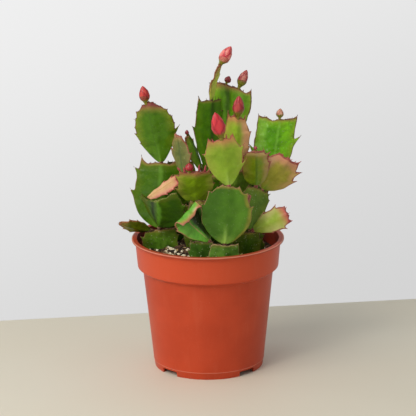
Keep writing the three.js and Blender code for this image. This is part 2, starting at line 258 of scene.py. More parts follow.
studio = {
    # the wall's painted shade: its dark and light tone, the heights of view they stand at, and how the
    # change slants
    "wall": ("d2d2d2", "f1f1f1"), "wallSpan": (-0.375, -0.095), "wallSlant": 0.38,
    "fill": "f8f7f4", "fillLight": 0.5,
    "lamps": {
        "key": {"from": -44, "up": 42, "distance": 1300, "size": 1100, "watts": 10.6, "colour": "fff8ee"},
        "glint": {"from": -36, "up": 40, "distance": 1300, "size": 240, "watts": 2, "colour": "fff8ee"},
        "side": {"from": -100, "up": 15, "distance": 1500, "size": 700, "watts": 2.4, "colour": "f4f7ff"},
    },
    "lampsAim": (0, 0, 90),
}
table = {
    "top": "dcd9cb", "warm": "d8d1bf", "cloud": 160, "grain": 2.2, "grainDepth": 0.02,
    # the far edge runs slightly askew behind the pot
    "farLeft": (-1500, -93), "farRight": (1500, 332), "front": -1500, "thickness": 12, "rounding": 2,
}


def makeLamp(name, lamp):
    data = bpy.data.lights.new(name, "AREA")
    data.shape = "DISK"
    data.size = lamp["size"] * mm
    data.energy = lamp["watts"]
    data.color = paint(lamp["colour"])[:3]
    addObject(name, data, facing(studio["lampsAim"], lamp["from"], lamp["up"], lamp["distance"]))


def makeRoom():
    # the pale wall is only seen, and its painted shade darkens it down to the right; an even light comes
    # from all round
    world = bpy.data.worlds.new("room")
    world.use_nodes = True
    room = Graph(world.node_tree)
    even = {"Color": studio["fill"], "Strength": studio["fillLight"]}
    fill = room.node("ShaderNodeBackground", {}, even)
    toward = room.node("ShaderNodeTexCoord")
    across, up = (room.node("ShaderNodeSeparateXYZ", {}, {0: toward}, i) for i in (0, 2))
    # painted shade: the wall darkens downwards and to the right
    light = room.ease(up - across * studio["wallSlant"], *studio["wallSpan"])
    wall = room.node("ShaderNodeBackground", {}, {"Color": room.blend(light, *studio["wall"])})
    seen = room.node("ShaderNodeLightPath")
    either = room.node("ShaderNodeMixShader", {}, {0: seen, 1: fill, 2: wall})
    room.feed(room.tree.nodes["World Output"].inputs["Surface"], either)
    bpy.context.scene.world = world
    bpy.context.scene.view_settings.view_transform = "Standard"
    for name, lamp in studio["lamps"].items():
        makeLamp(name, lamp)
    print("lamps", len(studio["lamps"]))


def makeTable():
    bm = bmesh.new()
    bmesh.ops.create_cube(bm, size=2)
    for corner in bm.verts:
        x, far = table["farLeft"] if corner.co.x < 0 else table["farRight"]
        y = far if corner.co.y > 0 else table["front"]
        corner.co = Vector((x, y, 0 if corner.co.z > 0 else -table["thickness"]))
    roundEdges(bm, bm.edges[:], table["rounding"])
    top = meshPiece("table_top", bm, [tableFinish()])


def tableFinish():
    top = Finish("table")
    cloud = top.speckle(table["cloud"])
    grain = top.speckle(table["grain"], 3)
    top.ground(top.ease(cloud, 0.35, 0.65) * 0.3, table["top"], table["warm"])
    return top.end(0.58 + grain * 0.1, grain, table["grainDepth"])


# Stem segments. On each one u runs from 0 at its narrow end to 1 at its tip edge,
# and v runs across it, from -1 at its left margin to 1 at its right one.

# how far past a tip edge the next segment or bud starts
joint = 0.75
stem = {
    # thickness at the middle rib, beside it and at the margin, and the width of the narrow end
    "rib": 2.6, "blade": 1.5, "margin": 0.8, "neck": 3.6, "ribSpread": 0.22,
    "neckThinning": 0.25, "neckShare": 0.1,
    # how much of the length a tooth swells over and drops over, and how far it hooks up
    "toothRise": 0.13, "toothDrop": 0.035, "toothHook": 0.7,
    # how closely the hooks keep to the margin, the horns to the corners and the slant to the tip edge
    "marginPower": 6, "hornPower": 20, "tipPower": 4,
    # height of the potting mix at the pot's wall, and how deep the planted segments go
    "soilEdge": 79.5, "rootDepth": 15,
    # columns and rows of the mesh
    "across": (0, 0.09, 0.2, 0.34, 0.48, 0.62, 0.75, 0.87, 0.95, 1), "rows": 30, "lastRow": 0.985,
    "besideTooth": (-0.07, -0.025, 0, 0.012, 0.035, 0.06), "closest": 0.009, "bendRows": (7, 0.04),
    "sharpReach": 0.006, "sharpness": 0.85,
    # heights and lengths of the waves: towards the margin, in the skin, in the margin, along the tip edge
    "ripple": (0.32, 9), "dimples": ((0.6, 9), (0.22, 3.4)), "nibble": ((0.5, 3.2), (0.35, 1.3)),
    "crest": ((2.4, 6), (1.1, 2.4)),
    # how closely the spurs and nibbles keep to the margin, and the crest to the tip edge
    "spurPower": 12, "nibblePower": 14, "crestPower": 30,
    # each tooth ends in a spur that hooks up: half length along the margin, how far out, how far up
    "spur": (0.03, 0.35, 0.8),
}
# What each row of the plant says, lengths in millimetres and angles in degrees.
# root          where it is planted: right of the pot's axis, behind it
# on, at, gap   else the segment that carries it, the v it starts from, how far past that tip edge
# lean, tip     how far it leans to the right, and tips towards the front
# turn          how far it is turned about its own length
# long, wide    its size
# waist, belly  the u where it is widest, and a power that is low where it widens early
# shoulder      width at the tip edge, as a share of the full width
# slant, crown  how much the tip edge climbs to the right, and how much it drops at both ends
# horns         how far its left and right corner stand up
# teeth         for each one its u, and its size at the left and the right margin
# bend          how far it curls towards the front, from bendFrom on
# fold, sharp   how steep the fold along its middle is, and how round
usual = {
    "lean": 0, "tip": 0, "turn": 0, "at": 0, "bend": 6, "bendFrom": 0, "fold": 0.14, "sharp": 0.3,
    "waist": 0.55, "belly": 1, "shoulder": 0.72, "slant": 0, "crown": 1, "horns": (2, 2), "gap": joint,
    "teeth": ((0.5, 1.5, 1.5), (0.78, 1.6, 1.6)),
}
segments = {
    # the shoot at the left
    "left_root": dict(
        root=(-33, 9), turn=8, long=30, wide=25, shoulder=0.85, slant=1, horns=(0, 1),
        teeth=((0.8, 1.5, 1),)),
    "left_tall": dict(
        on="left_root", lean=0.8, tip=-15.5, turn=-4, gap=1, long=45, wide=37.5, waist=0.45, belly=0.62,
        bend=4, horns=(6, 3.5), teeth=((0.54, 2.2, 2), (0.87, 2.4, 2.5))),
    "left_top": dict(
        on="left_tall", at=0.04, lean=-8.4, tip=8, turn=-5, long=45.5, wide=27, waist=0.56, belly=0.85,
        shoulder=0.5, bend=8, slant=-0.5, crown=3.5, horns=(0.6, 0.6),
        teeth=((0.3, 1.2, 0), (0.465, 1.4, 3), (0.6, 0.6, 0.6), (0.74, 0.8, 0.8), (0.88, 0.8, 0.8))),
    "left_keel": dict(
        on="left_root", at=-0.08, lean=1, tip=33, turn=-32, gap=3, long=29, wide=39.5, waist=0.56,
        belly=0.8, fold=0.33, sharp=0.1, slant=13, horns=(1, 1),
        teeth=((0.5, 0.8, 0.8), (0.78, 0.8, 1.5))),
    "left_blush": dict(
        on="left_keel", at=-1, lean=56, tip=14, turn=-52, gap=1.8, long=27, wide=9.8, waist=0.7,
        shoulder=0.8, horns=(1.4, 1.4), teeth=((0.55, 1, 1), (0.8, 1.4, 1))),
    "left_side": dict(
        on="left_root", at=-0.45, lean=-75, tip=16, turn=-41, gap=3, long=21.6, wide=13.5, waist=0.45,
        shoulder=0.3, bend=-6, horns=(1.2, 1.2), teeth=((0.5, 1, 1), (0.75, 1, 1))),
    # the shoot left of the middle
    "centre_root": dict(
        root=(-7, 12), lean=-1, tip=11, turn=-15, long=50.5, wide=20, teeth=((0.6, 1.4, 1.4),)),
    "centre_round": dict(
        on="centre_root", at=0.25, lean=-4, tip=26, turn=8, long=31, wide=25, waist=0.5, shoulder=0.84,
        slant=-2, horns=(3.4, 3.4), teeth=((0.5, 1.4, 0.8), (0.86, 2, 2.4))),
    "centre_mid": dict(
        on="centre_root", at=-0.45, lean=-4, tip=-12, turn=10, gap=1.8, long=18, wide=16,
        teeth=((0.7, 1, 1),)),
    "centre_pale": dict(
        on="centre_mid", at=-0.7, lean=-4, tip=2, turn=-50, gap=1.1, long=29.5, wide=19, waist=0.5,
        shoulder=0.34, horns=(1, 1), teeth=((0.55, 1.4, 1.4),)),
    # the shoot at the front
    "front_root_left": dict(
        root=(-4, -28), turn=-14, long=31.8, wide=18, shoulder=0.9, horns=(1.2, 1),
        teeth=((0.74, 1.5, 1),)),
    "front_root_right": dict(
        root=(11, -31), turn=8, long=30, wide=22, shoulder=0.85, horns=(1, 1.6),
        teeth=((0.7, 1, 1.6),)),
    "front_broad": dict(
        on="front_root_right", lean=4, long=41, wide=34, waist=0.46, belly=0.75, shoulder=0.44, bend=5,
        fold=0.1, crown=2, horns=(1.2, 2.2), teeth=((0.62, 1.2, 1.4), (0.86, 1.4, 1.4))),
    "front_upper": dict(
        on="front_broad", at=0.05, lean=-9, tip=5, long=33.4, wide=25, waist=0.6, belly=0.85,
        shoulder=0.66, fold=0.1, crown=0, horns=(1.8, 2.6),
        teeth=((0.36, 0, 2.8), (0.68, 1.2, 0), (0.72, 0, 2.2))),
    "front_bent": dict(
        on="front_root_left", at=0.8, lean=-41, turn=28, gap=1.6, long=32.5, wide=22, waist=0.6,
        shoulder=0.85, bend=165, bendFrom=0.63, horns=(1, 1), teeth=((0.6, 1, 1),)),
    "front_dark": dict(
        on="front_root_left", tip=-25, turn=10, gap=2.2, long=25, wide=20,
        teeth=((0.35, 1, 1), (0.65, 1.4, 1.4))),
    # the shoot in the middle
    "middle_root": dict(root=(4, 14), turn=10, long=34, wide=18),
    "middle_ridge": dict(on="middle_root", tip=-4, turn=8, long=32.8, wide=24, shoulder=0.75, slant=-3),
    "centre_blade": dict(
        on="middle_ridge", at=-0.95, lean=-24, tip=6, turn=62, gap=1, long=26, wide=12, shoulder=0.5,
        horns=(1, 2), teeth=((0.7, 1, 1.5),)),
    "middle_tall": dict(
        on="middle_ridge", at=-0.4, tip=-7, turn=42, long=50, wide=24, waist=0.6, shoulder=0.9, crown=0,
        horns=(3.4, 0), teeth=((0.6, 2, 1.4), (0.8, 0, 1.4))),
    "middle_stalk": dict(
        on="middle_tall", at=0.1, lean=10, tip=8, turn=74, long=25.5, wide=15, shoulder=0.6,
        horns=(1, 1), teeth=((0.6, 1, 1),)),
    # the shoot behind the middle
    "inner_root": dict(root=(17, 17), turn=-30, long=37, wide=22),
    "inner_dark": dict(on="inner_root", at=0.1, lean=6, tip=24, turn=6, long=41, wide=23),
    "inner_upper": dict(
        on="inner_dark", at=-0.1, tip=8, turn=6, long=38.9, wide=18, waist=0.6, shoulder=0.66,
        slant=-1.8, horns=(4.6, 4), teeth=((0.4, 1, 1), (0.7, 1, 1))),
    "inner_low": dict(on="inner_root", at=-0.3, lean=3.4, tip=-14, turn=-8, long=45, wide=28),
    "inner_broad": dict(
        on="inner_low", tip=-4.8, long=45, wide=30, waist=0.85, shoulder=0.97, slant=-4.5, crown=3.5,
        horns=(0.6, 4.4), teeth=((0.5, 1.4, 0),)),
    # the shoot at the right
    "right_root": dict(root=(27, -15), turn=14, long=35, wide=19, shoulder=0.8),
    "right_outer_root": dict(
        root=(33.5, 2), turn=30, long=30, wide=11, horns=(1.5, 1.5),
        teeth=((0.64, 1.5, 1.5), (0.86, 1.2, 1.2))),
    "right_dark": dict(
        on="right_root", at=0.1, lean=13, tip=-26, turn=20, gap=1, long=29, wide=20, waist=0.8,
        teeth=((0.5, 1, 0.6), (0.8, 1, 0.6))),
    "right_front": dict(
        on="right_dark", at=-0.25, lean=-1.5, tip=23, turn=2, gap=2.8, long=31, wide=19, waist=0.5,
        belly=0.5, shoulder=0.66, bend=10, crown=1.5, horns=(0.8, 1.4),
        teeth=((0.6, 0, 1), (0.86, 0.8, 1.8))),
    "right_side": dict(
        on="right_dark", at=0.4, lean=37.5, tip=8, turn=14, gap=1, long=29, wide=28, waist=0.42,
        belly=0.7, shoulder=0.58, bend=8, horns=(1.2, 4), teeth=((0.5, 1, 2), (0.76, 1, 2.2))),
    "right_top": dict(
        on="right_dark", at=1, lean=8.6, tip=-16, turn=4, gap=1.6, long=47.5, wide=27, waist=0.6,
        shoulder=1, slant=1.5, crown=0, horns=(3, 3), teeth=((0.5, 3.6, 0), (0.7, 0, 3.4))),
    "right_low": dict(
        on="right_root", at=0.25, lean=61, tip=14, turn=-10, gap=2.4, long=26.5, wide=15.5, waist=0.6,
        bend=-8, horns=(1.4, 1.6), teeth=((0.4, 1, 0.6), (0.75, 1.4, 1.4))),
    "right_edge": dict(
        on="right_root", at=-0.45, lean=6, tip=14, turn=80, gap=1, long=27, wide=9, shoulder=0.5,
        horns=(1, 1), teeth=((0.6, 1, 1),)),
    # the shoots at the back
    "back_left_root": dict(root=(-22, 27), turn=-140, long=33, wide=21),
    "back_left_low": dict(on="back_left_root", at=-0.35, lean=4, tip=-4, turn=-160, long=38, wide=26),
    "back_left_side": dict(on="back_left_root", at=0.95, lean=-50, tip=-28, turn=-30, long=23, wide=20),
    "back_root": dict(root=(5, 35), turn=176, long=33, wide=22),
    "back_low": dict(on="back_root", lean=6, tip=3, turn=176, long=42, wide=24),
    "back_upper": dict(on="back_low", lean=3, tip=6, turn=168, long=36, wide=24),
    "back_tilt": dict(on="back_root", at=-1, lean=10, tip=-36, turn=190, gap=1.5, long=22, wide=19),
    "back_right_root": dict(root=(28, 22), turn=128, long=33, wide=18),
    "back_right_low": dict(on="back_right_root", lean=10, tip=-4, turn=150, long=36, wide=22),
    "back_right_upper": dict(
        on="back_right_low", at=-0.5, lean=16, tip=-6, turn=160, gap=1, long=27, wide=17),
}

# What each segment looks like.
# green, shade   the skin and the darker patches in it
# rim            the yellower skin towards the margins, and how strong it is; on front_broad it is darker, as painted shade
# bands          stripes along it: v of the middle, half width, colour, strength; some are painted light and shade
# bandStop       the u past which the stripes end, or 0 where they run on to the tip edge
# tint           a blush that starts at the tip edge: colour, how far down it reaches, strength
# edge           the thin line round the margin: colour and width
# foot           colour at the narrow end, the skin's paler base with a painted highlight on it
# flecks         strength of the pale flecks, partly real specks and partly painted glints
# gloss, wax     the skin's roughness, and the strength of the shine on it
# relief         how deep the swellings of the skin are
# crust          size of the woolly cushions along the tip edge
# thorns         colour of the wool, the teeth's tips and the bristles
# spikes         bristles on the tip edge: v, length, degrees to the right
# bristle        how thick they are
usualLook = {
    "green": "4c7812", "shade": "365c0a", "rim": ("7c882a", 0.45), "bands": (), "bandStop": 0,
    "tint": ("5c4420", 1.2, 0.8), "edge": ("4c2c1c", 0.5), "foot": "6c9c2c", "flecksAndGlints": 0.05,
    "gloss": 0.4, "wax": 0.05, "relief": 0.5, "crust": 0.8, "thorns": "brown", "bristle": 0.4,
    "spikes": ((-0.5, 1.2, -14), (0.1, 1.4, 4), (0.6, 1.1, 20)),
}
looks = {
    "left_root": dict(
        green="66982a", shade="3a5c12", flecksAndGlints=0.45, crust=1.1, edge=("8a6a44", 0.4),
        bands=((0.2, 0.2, "74a034", 0.6),)),
    "left_tall": dict(
        green="4c7408", shade="386004", rim=("607010", 0.5), tint=("6a4028", 1.2, 0.9),
        edge=("7c4838", 0.5), bands=((0.02, 0.16, "64942c", 0.6),), crust=1),
    "left_top": dict(
        green="50800c", shade="426c08", tint=("8c3048", 4.8, 1), edge=("6c2c24", 0.7),
        rim=("7c8c24", 0.75), bands=((-0.15, 0.05, "3f6412", 0.4),), gloss=0.34, wax=0.2,
        spikes=((-0.86, 1, -60), (-0.1, 1.2, -30), (0.5, 1.2, 30))),
    # left_keel's near-black stripe is painted shade in its crease, and the darker band on its right wing
    # is painted shade on the side turned from the light
    "left_keel": dict(
        green="4c7814", shade="365a0e", rim=("5c7c18", 0.4),
        bands=((0.05, 0.13, "68a034", 1), (-0.8, 0.45, "4c5c00", 0.95), (-0.28, 0.2, "1c3002", 0.95),
               (0.65, 0.4, "3c6618", 0.7)),
        tint=("4c7414", 1.5, 0.3), edge=("44640c", 0.4), crust=0.3, foot="4c7818", spikes=()),
    "left_blush": dict(
        green="dcbc86", shade="cca070", tint=("c86a6a", 4, 0.6), edge=("b04a48", 1.1),
        rim=("d49a80", 0.6), bands=((0, 0.12, "b89058", 0.7), (0.8, 0.4, "d08878", 0.7)), flecksAndGlints=0.1,
        gloss=0.38, crust=0.5, foot="d09070", thorns="pink", spikes=((-0.7, 1, -30), (0.7, 1, 30))),
    "left_side": dict(
        green="5c6c08", shade="465a06", rim=("6c7010", 0.5), tint=("5a3c20", 4, 0.8),
        edge=("8c5030", 0.9)),
    "centre_root": dict(green="587c20", shade="365210", flecksAndGlints=0.4),
    "centre_round": dict(
        green="98bc20", shade="84a81c", rim=("c0bc58", 0.75), tint=("c4705c", 3.4, 0.9),
        edge=("94483c", 0.6), gloss=0.3, wax=0.4, thorns="pink", bristle=1.8,
        spikes=((0.3, 7, 4), (0.66, 7, 12), (-0.62, 6, -8), (-0.93, 4, -30))),
    "centre_mid": dict(green="4c7414", shade="365810"),
    "centre_pale": dict(
        green="747c40", shade="5c6834", rim=("8c7c50", 0.6), tint=("a86860", 3, 0.7), flecksAndGlints=0.2,
        edge=("944c44", 0.8), bands=((0.1, 0.14, "50623a", 0.7),), thorns="pink",
        spikes=((-0.4, 1.8, -10), (0.3, 1.6, 16), (0.7, 1.2, 30))),
    "centre_blade": dict(green="84b42c", shade="6c9c20", edge=("6c2c28", 1), tint=("8c4a3c", 3, 0.6)),
    "front_root_left": dict(
        green="40681e", shade="2a4612", flecksAndGlints=0.5, crust=1.4, edge=("907c50", 0.4),
        rim=("4c7424", 0.5), tint=("6c7040", 1.2, 0.5)),
    "front_root_right": dict(
        green="70a03c", shade="447022", flecksAndGlints=0.5, crust=1.4, edge=("a08c60", 0.4),
        rim=("64903a", 0.5), tint=("6c7040", 1.2, 0.5)),
    # front_broad's dark rim and dark left band are painted shade where its sides turn away; its lighter
    # right bands and bright foot are painted light
    "front_broad": dict(
        green="4c7a1c", shade="3e6a14", tint=("8c7444", 1.2, 0.6), edge=("94704c", 0.5),
        rim=("3c6010", 0.6), flecksAndGlints=0.08, gloss=0.32, wax=0.15, foot="b4e068",
        bands=((0.6, 0.4, "62942a", 0.5), (0.95, 0.2, "98903c", 0.6), (-0.6, 0.5, "345c14", 0.5))),
    "front_upper": dict(
        green="88a82c", shade="789824", rim=("a0a844", 0.5), tint=("c07c58", 4.6, 0.85),
        edge=("a85048", 0.6), gloss=0.34, wax=0.2, crust=0.7, foot="a4c45c", thorns="pink", bristle=0.9,
        spikes=((-0.62, 3.4, -16), (0.15, 1.6, 4), (0.46, 3.2, 8), (0.82, 2.4, 16))),
    # front_bent's two dark bands are painted shade inside its curl; the thin brown band is its curled
    # margin
    "front_bent": dict(
        green="68b030", shade="549c28", rim=("78ac48", 0.5), tint=("c05c54", 1.8, 0.95),
        bands=((0.5, 0.68, "223408", 1), (0.2, 0.36, "223408", 1), (-0.16, 0.06, "a08454", 0.9)),
        bandStop=0.74, edge=("b8705c", 0.8), gloss=0.2, wax=0.5, relief=1.2, flecksAndGlints=0.1, foot="5c9028"),
    "front_dark": dict(green="34500e", shade="243c0a"),
    "middle_root": dict(green="4c7014", shade="30500c", flecksAndGlints=0.4),
    "middle_ridge": dict(
        green="508014", shade="3c680c", tint=("c08070", 2.4, 0.9), edge=("a85c54", 0.8)),
    "middle_tall": dict(
        green="548808", shade="407006", rim=("649010", 0.4), tint=("5a3820", 1.2, 0.9),
        edge=("4c3018", 0.5),
        bands=((-0.7, 0.25, "6c9818", 0.35), (0.15, 0.22, "365804", 0.8), (0.55, 0.15, "5c8c10", 0.5)),
        spikes=((-0.35, 1.4, -12), (0.45, 3, 2), (0.7, 1.6, 12), (-0.75, 1.4, -8))),
    "middle_stalk": dict(
        green="dce868", shade="c4d454", rim=("b0a850", 0.4), tint=("a8784c", 5, 0.8),
        edge=("84382c", 1.1), flecksAndGlints=0.1),
    "inner_root": dict(green="547a1c", shade="3c6010"),
    "inner_dark": dict(green="7ca038", shade="648a24"),
    "inner_upper": dict(
        green="a4c83c", shade="90b430", rim=("c8a85c", 0.6), tint=("d08c64", 3, 0.8),
        edge=("84342c", 0.7), bands=((0.75, 0.6, "e4a884", 0.85),), gloss=0.36, wax=0.15, thorns="pink",
        bristle=0.8, spikes=((-0.3, 1.6, -8), (0.5, 1.4, 10), (0.9, 2, 40))),
    "inner_low": dict(green="4c7c12", shade="38640a"),
    "inner_broad": dict(
        green="6ca41c", shade="58900e", rim=("98b440", 0.5), tint=("a46c50", 2.8, 0.9),
        edge=("6c2428", 1.1),
        bands=((-0.12, 0.2, "3c6402", 0.95), (0.45, 0.3, "84b43c", 0.7), (-0.65, 0.3, "84b030", 0.6)),
        gloss=0.34, wax=0.2, crust=1.2, bristle=0.6,
        spikes=((0.42, 1.6, 6), (-0.5, 1.2, -12), (0.1, 1.2, 0), (0.62, 1.8, 14))),
    "right_root": dict(green="4c7014", shade="30500c", flecksAndGlints=0.4),
    "right_outer_root": dict(green="547a1c", shade="365810", flecksAndGlints=0.4),
    "right_dark": dict(green="6c9034", shade="547426", flecksAndGlints=0.3, gloss=0.5),
    "right_front": dict(
        green="8ca41c", shade="749018", rim=("ac8450", 0.6), tint=("e8c48c", 4.4, 0.9),
        edge=("842834", 1.3), bands=((0.05, 0.16, "5c8008", 0.85), (0.8, 0.4, "c89c78", 0.4)),
        gloss=0.3, wax=0.3, relief=1, thorns="pink",
        spikes=((0.5, 1, 10), (0.85, 2.4, 8), (-0.6, 1.2, -14))),
    "right_side": dict(
        green="aca43c", shade="90902a", rim=("d89078", 0.85), tint=("e09880", 7, 0.85),
        edge=("942838", 1.4), bands=((-0.85, 0.5, "e8b49c", 0.9), (0.9, 0.3, "c0ac5c", 0.6)),
        gloss=0.32, wax=0.15, relief=0.9, thorns="pink", bristle=0.6,
        spikes=((-0.7, 1.2, -30), (-0.2, 2, -8), (0.2, 2, 8), (0.6, 1.6, 12))),
    "right_top": dict(
        green="64ac00", shade="549800", rim=("94b020", 0.55), tint=("6c5428", 1.4, 0.9), flecksAndGlints=0.2,
        edge=("6c3828", 0.8),
        bands=((-0.7, 0.4, "98d84c", 0.6), (0.1, 0.1, "88c844", 0.5), (0.5, 0.35, "80c808", 0.6)),
        gloss=0.2, wax=0.4, relief=2, crust=1.3,
        spikes=((-0.66, 1.2, -8), (-0.2, 1.2, 4), (0.5, 1.2, 6), (0.74, 1.2, 12))),
    "right_low": dict(
        green="a4c048", shade="90ac38", rim=("ccc088", 0.7), tint=("c04c58", 5.5, 1),
        edge=("842838", 1.2), foot="98b858", wax=0.15, thorns="pink",
        spikes=((-0.7, 1.6, -40), (0, 1.8, 0), (0.7, 1.8, 40))),
    "right_edge": dict(
        green="a88460", shade="886848", rim=("9c5c48", 0.6), tint=("b8605c", 4, 0.6),
        edge=("9c5050", 0.8)),
    "back_left_side": dict(green="64902a", shade="4c7418", tint=("a86c58", 3, 0.8)),
    "back_upper": dict(
        green="74a02a", shade="5c881c", tint=("b87c68", 5, 0.9), edge=("8c4440", 0.7), thorns="pink"),
    "back_right_upper": dict(
        green="7c9c2a", shade="648420", tint=("b07864", 4, 0.9), edge=("8c4440", 0.7), thorns="pink"),
}
skinTones = {
    # sizes of the patterns in the skin
    "patch": 8, "mottle": 2.4, "grain": 0.6, "swelling": 5, "fleck": 1.3,
    "tan": "b09850", "pale": "d0d8b0", "cork": "b4966c",
}
# dark and light tones of the wool and of the thorns
woolTones = {"brown": ("50301c", "9c7450"), "pink": ("843c38", "bc8068")}
thornTones = {"brown": ("3c2018", "6e4430"), "pink": ("9c3040", "cc6468")}
tufts = {
    # wool in the notches: the least tooth with any, width and its growth with the tooth, depth, stretch
    "least": 0.5, "wide": (0.55, 0.12), "deep": 0.6, "tall": 1.2, "ragged": 0.45,
    # along the tip edge: cushions to a millimetre, how far towards the corners, how deep they sit
    "perMillimetre": 0.48, "reach": 0.85, "sunk": 0.25, "squash": (1, 0.7, 0.6),
    # thorns: length and its growth with the tooth, radius
    "spurThorn": (0.2, 0.12, 0.34), "hornThorn": (0.3, 0.14, 0.42), "notchThorn": ((0.5, 1.2), 0.26),
    "point": 0.16, "flat": 0.6, "buried": 0.4,
    # the swollen joint at the narrow end: radii, how far it reaches past the gap and into the segment
    "jointRadii": (1.75, 1.45), "jointBelow": 0.6, "jointAbove": 1.6, "jointFlat": 0.62,
}
# places in a segment's list of materials, after its skin
woolSlot, spikeSlot = 1, 2


def toothAt(row, u, side):
    # a tooth swells slowly up to its point and drops to the notch above it
    out = 0
    for place, left, right in row["teeth"]:
        size = left if side < 0 else right
        before = 1 + (u - place) / stem["toothRise"]
        after = 1 - (u - place) / stem["toothDrop"]
        if u <= place and before > 0:
            out += size * before * before
        if u > place and after > 0:
            out += size * after
    return out


def halfWidth(row, u, side):
    below = min(1, u / row["waist"])
    past = max(0, (u - row["waist"]) / (1 - row["waist"]))
    full = row["wide"] / 2
    widening = sin(below * pi / 2) ** row["belly"]
    plain = stem["neck"] / 2 + (full - stem["neck"] / 2) * widening
    return plain - full * (1 - row["shoulder"]) * past * past + toothAt(row, u, side)


def halfThickness(u, v):
    rib = exp(-((v / stem["ribSpread"]) ** 2))
    blade = stem["margin"] + (stem["blade"] - stem["margin"]) * (1 - v * v)
    flat = blade + (stem["rib"] - blade) * rib
    neck = min(1, u / stem["neckShare"])
    return flat / 2 * (1 - stem["neckThinning"] + stem["neckThinning"] * neck)


def skinPoint(row, u, v, face=0, lift=0, out=0, up=0):
    # a point of the skin: face is -1 on the front, 1 on the back and 0 between them
    edge = abs(v) ** stem["marginPower"]
    hook = toothAt(row, u, v) * stem["toothHook"] * edge
    horn = row["horns"][0 if v < 0 else 1] * edge * u ** stem["hornPower"]
    tilt = (row["slant"] * v - row["crown"] * v * v) * u ** stem["tipPower"]
    s = row["long"] * u + hook + horn + tilt + up

    half = halfWidth(row, u, v) + out
    x = half * v / hypot(1, row["fold"])
    fall = row["fold"] * half * (hypot(v, row["sharp"]) - row["sharp"])
    back = fall + face * halfThickness(u, v) + lift

    straight = row["long"] * row["bendFrom"]
    curl = radians(row["bend"]) / (row["long"] - straight)
    angle = curl * max(0, s - straight)
    y = -(1 - cos(angle)) / curl
    z = min(s, straight) + sin(angle) / curl
    return Vector((x, y + back * cos(angle), z + back * sin(angle)))


def placed(item, base):
    leaning = Matrix.Rotation(radians(item.get("lean", 0)), 4, "Y")
    tipping = Matrix.Rotation(radians(item.get("tip", 0)), 4, "X")
    turning = Matrix.Rotation(radians(item.get("turn", 0)), 4, "Z")
    return Matrix.Translation(base) @ leaning @ tipping @ turning


def startOf(item):
    # in the soil, or just past the carrying segment's tip edge, along the new piece's own direction
    if "root" in item:
        return Vector((*item["root"], stem["soilEdge"] - stem["rootDepth"]))
    row, matrix = grown[item["on"]]
    tipPoint = matrix @ skinPoint(row, 1, item.get("at", 0))
    along = placed(item, (0, 0, 0)).to_3x3() @ Vector((0, 0, 1))
    return tipPoint + along * item.get("gap", joint)


def stations(row):
    # the u of each row of the mesh, closer together beside the teeth and in a tight bend
    places = [stem["lastRow"]] + [i / stem["rows"] for i in range(1, stem["rows"])]
    for place, *_ in row["teeth"]:
        places += [place + step for step in stem["besideTooth"]]
    if row["bendFrom"]:
        count, step = stem["bendRows"]
        places += [row["bendFrom"] + step * i for i in range(count)]
    kept = [0]
    for place in sorted(places):
        if place - kept[-1] > stem["closest"] and place < 1 - stem["closest"]:
            kept.append(place)
    return kept + [1]


def spurAt(row, u, side):
    half = stem["spur"][0]
    return sum((left if side < 0 else right) * max(0, 1 - abs(u - place) / half)
               for place, left, right in row["teeth"])


def waver(waves, x, y, seed):
    return sum(height * noise.noise(Vector((x / length, y / length, seed))) for height, length in waves)


def pointed(row, u):
    # whether this place along the margin is a corner, a tooth's tip or its notch
    corners = [1]
    for place, *_ in row["teeth"]:
        corners += [place, place + stem["toothDrop"]]
    return any(abs(u - corner) < stem["sharpReach"] for corner in corners)


def crestAt(row, v, wave):
    # waves along the tip edge, level where something grows from it
    free = min([1] + [abs(v - place) * 4 for place in row["carried"]])
    return waver(stem["crest"], v * row["wide"] / 2, 90, wave) * free * min(1, (1 - abs(v)) * 5)


def makeBlade(bm, row, wave):
    # a flat grid, doubled into a slab, whose points then go to the segment's surface
    # the waves in it fade towards both ends
    rows = stations(row)
    columns = [-v for v in reversed(stem["across"][1:])] + list(stem["across"])
    bmesh.ops.create_grid(bm, x_segments=len(columns) - 1, y_segments=len(rows) - 1, size=1)
    doubled = bmesh.ops.extrude_face_region(bm, geom=bm.faces[:], use_keep_orig=True)
    back = [v for v in doubled["geom"] if isinstance(v, bmesh.types.BMVert)]
    bmesh.ops.translate(bm, vec=(0, 0, 1), verts=back)
    across, along, margin, tip, crease = marks(bm, "across", "along", "margin", "tip", "crease_vert")
    rippleHeight, rippleLength = stem["ripple"]
    _, spurOut, spurUp = stem["spur"]
    for point in bm.verts:
        v = columns[round((point.co.x + 1) / 2 * (len(columns) - 1))]
        u = rows[round((point.co.y + 1) / 2 * (len(rows) - 1))]
        face = 1 if point.co.z > 0.5 else -1
        x, z = v * row["wide"] / 2, u * row["long"]
        point[across], point[along] = v, u
        point[tip] = (1 - u) * row["long"]
        point[margin] = min(halfWidth(row, u, v) * (1 - abs(v)), point[tip])
        point[crease] = stem["sharpness"] if abs(v) == 1 and pointed(row, u) else 0

        ripple = rippleHeight * abs(v) ** 3 * min(1, u * 4) * min(1, (1 - u) * 6)
        lift = ripple * sin(z / rippleLength * 2 * pi + wave + v)
        lift += waver(stem["dimples"], x, z, wave) * min(1, u * 4)
        spur = spurAt(row, u, v) * abs(v) ** stem["spurPower"]
        nibble = waver(stem["nibble"], z, 30 * v, wave) * abs(v) ** stem["nibblePower"] * min(1, u * 6)
        crest = crestAt(row, v, wave) * u ** stem["crestPower"]
        point.co = skinPoint(row, u, v, face, lift, nibble + spur * spurOut, crest + spur * spurUp)
    bmesh.ops.recalc_face_normals(bm, faces=bm.faces)


def addTuft(bm, place, size):
    # a woolly cushion, squashed and roughened
    shape = Matrix.Translation(place) @ Matrix.Diagonal((*size, 1))
    points = bmesh.ops.create_icosphere(bm, subdivisions=1, radius=1, matrix=shape)["verts"]
    for point in points:
        point.co += noise.noise_vector(point.co * 1.7) * min(size) * tufts["ragged"]
    useMaterial(points, woolSlot)


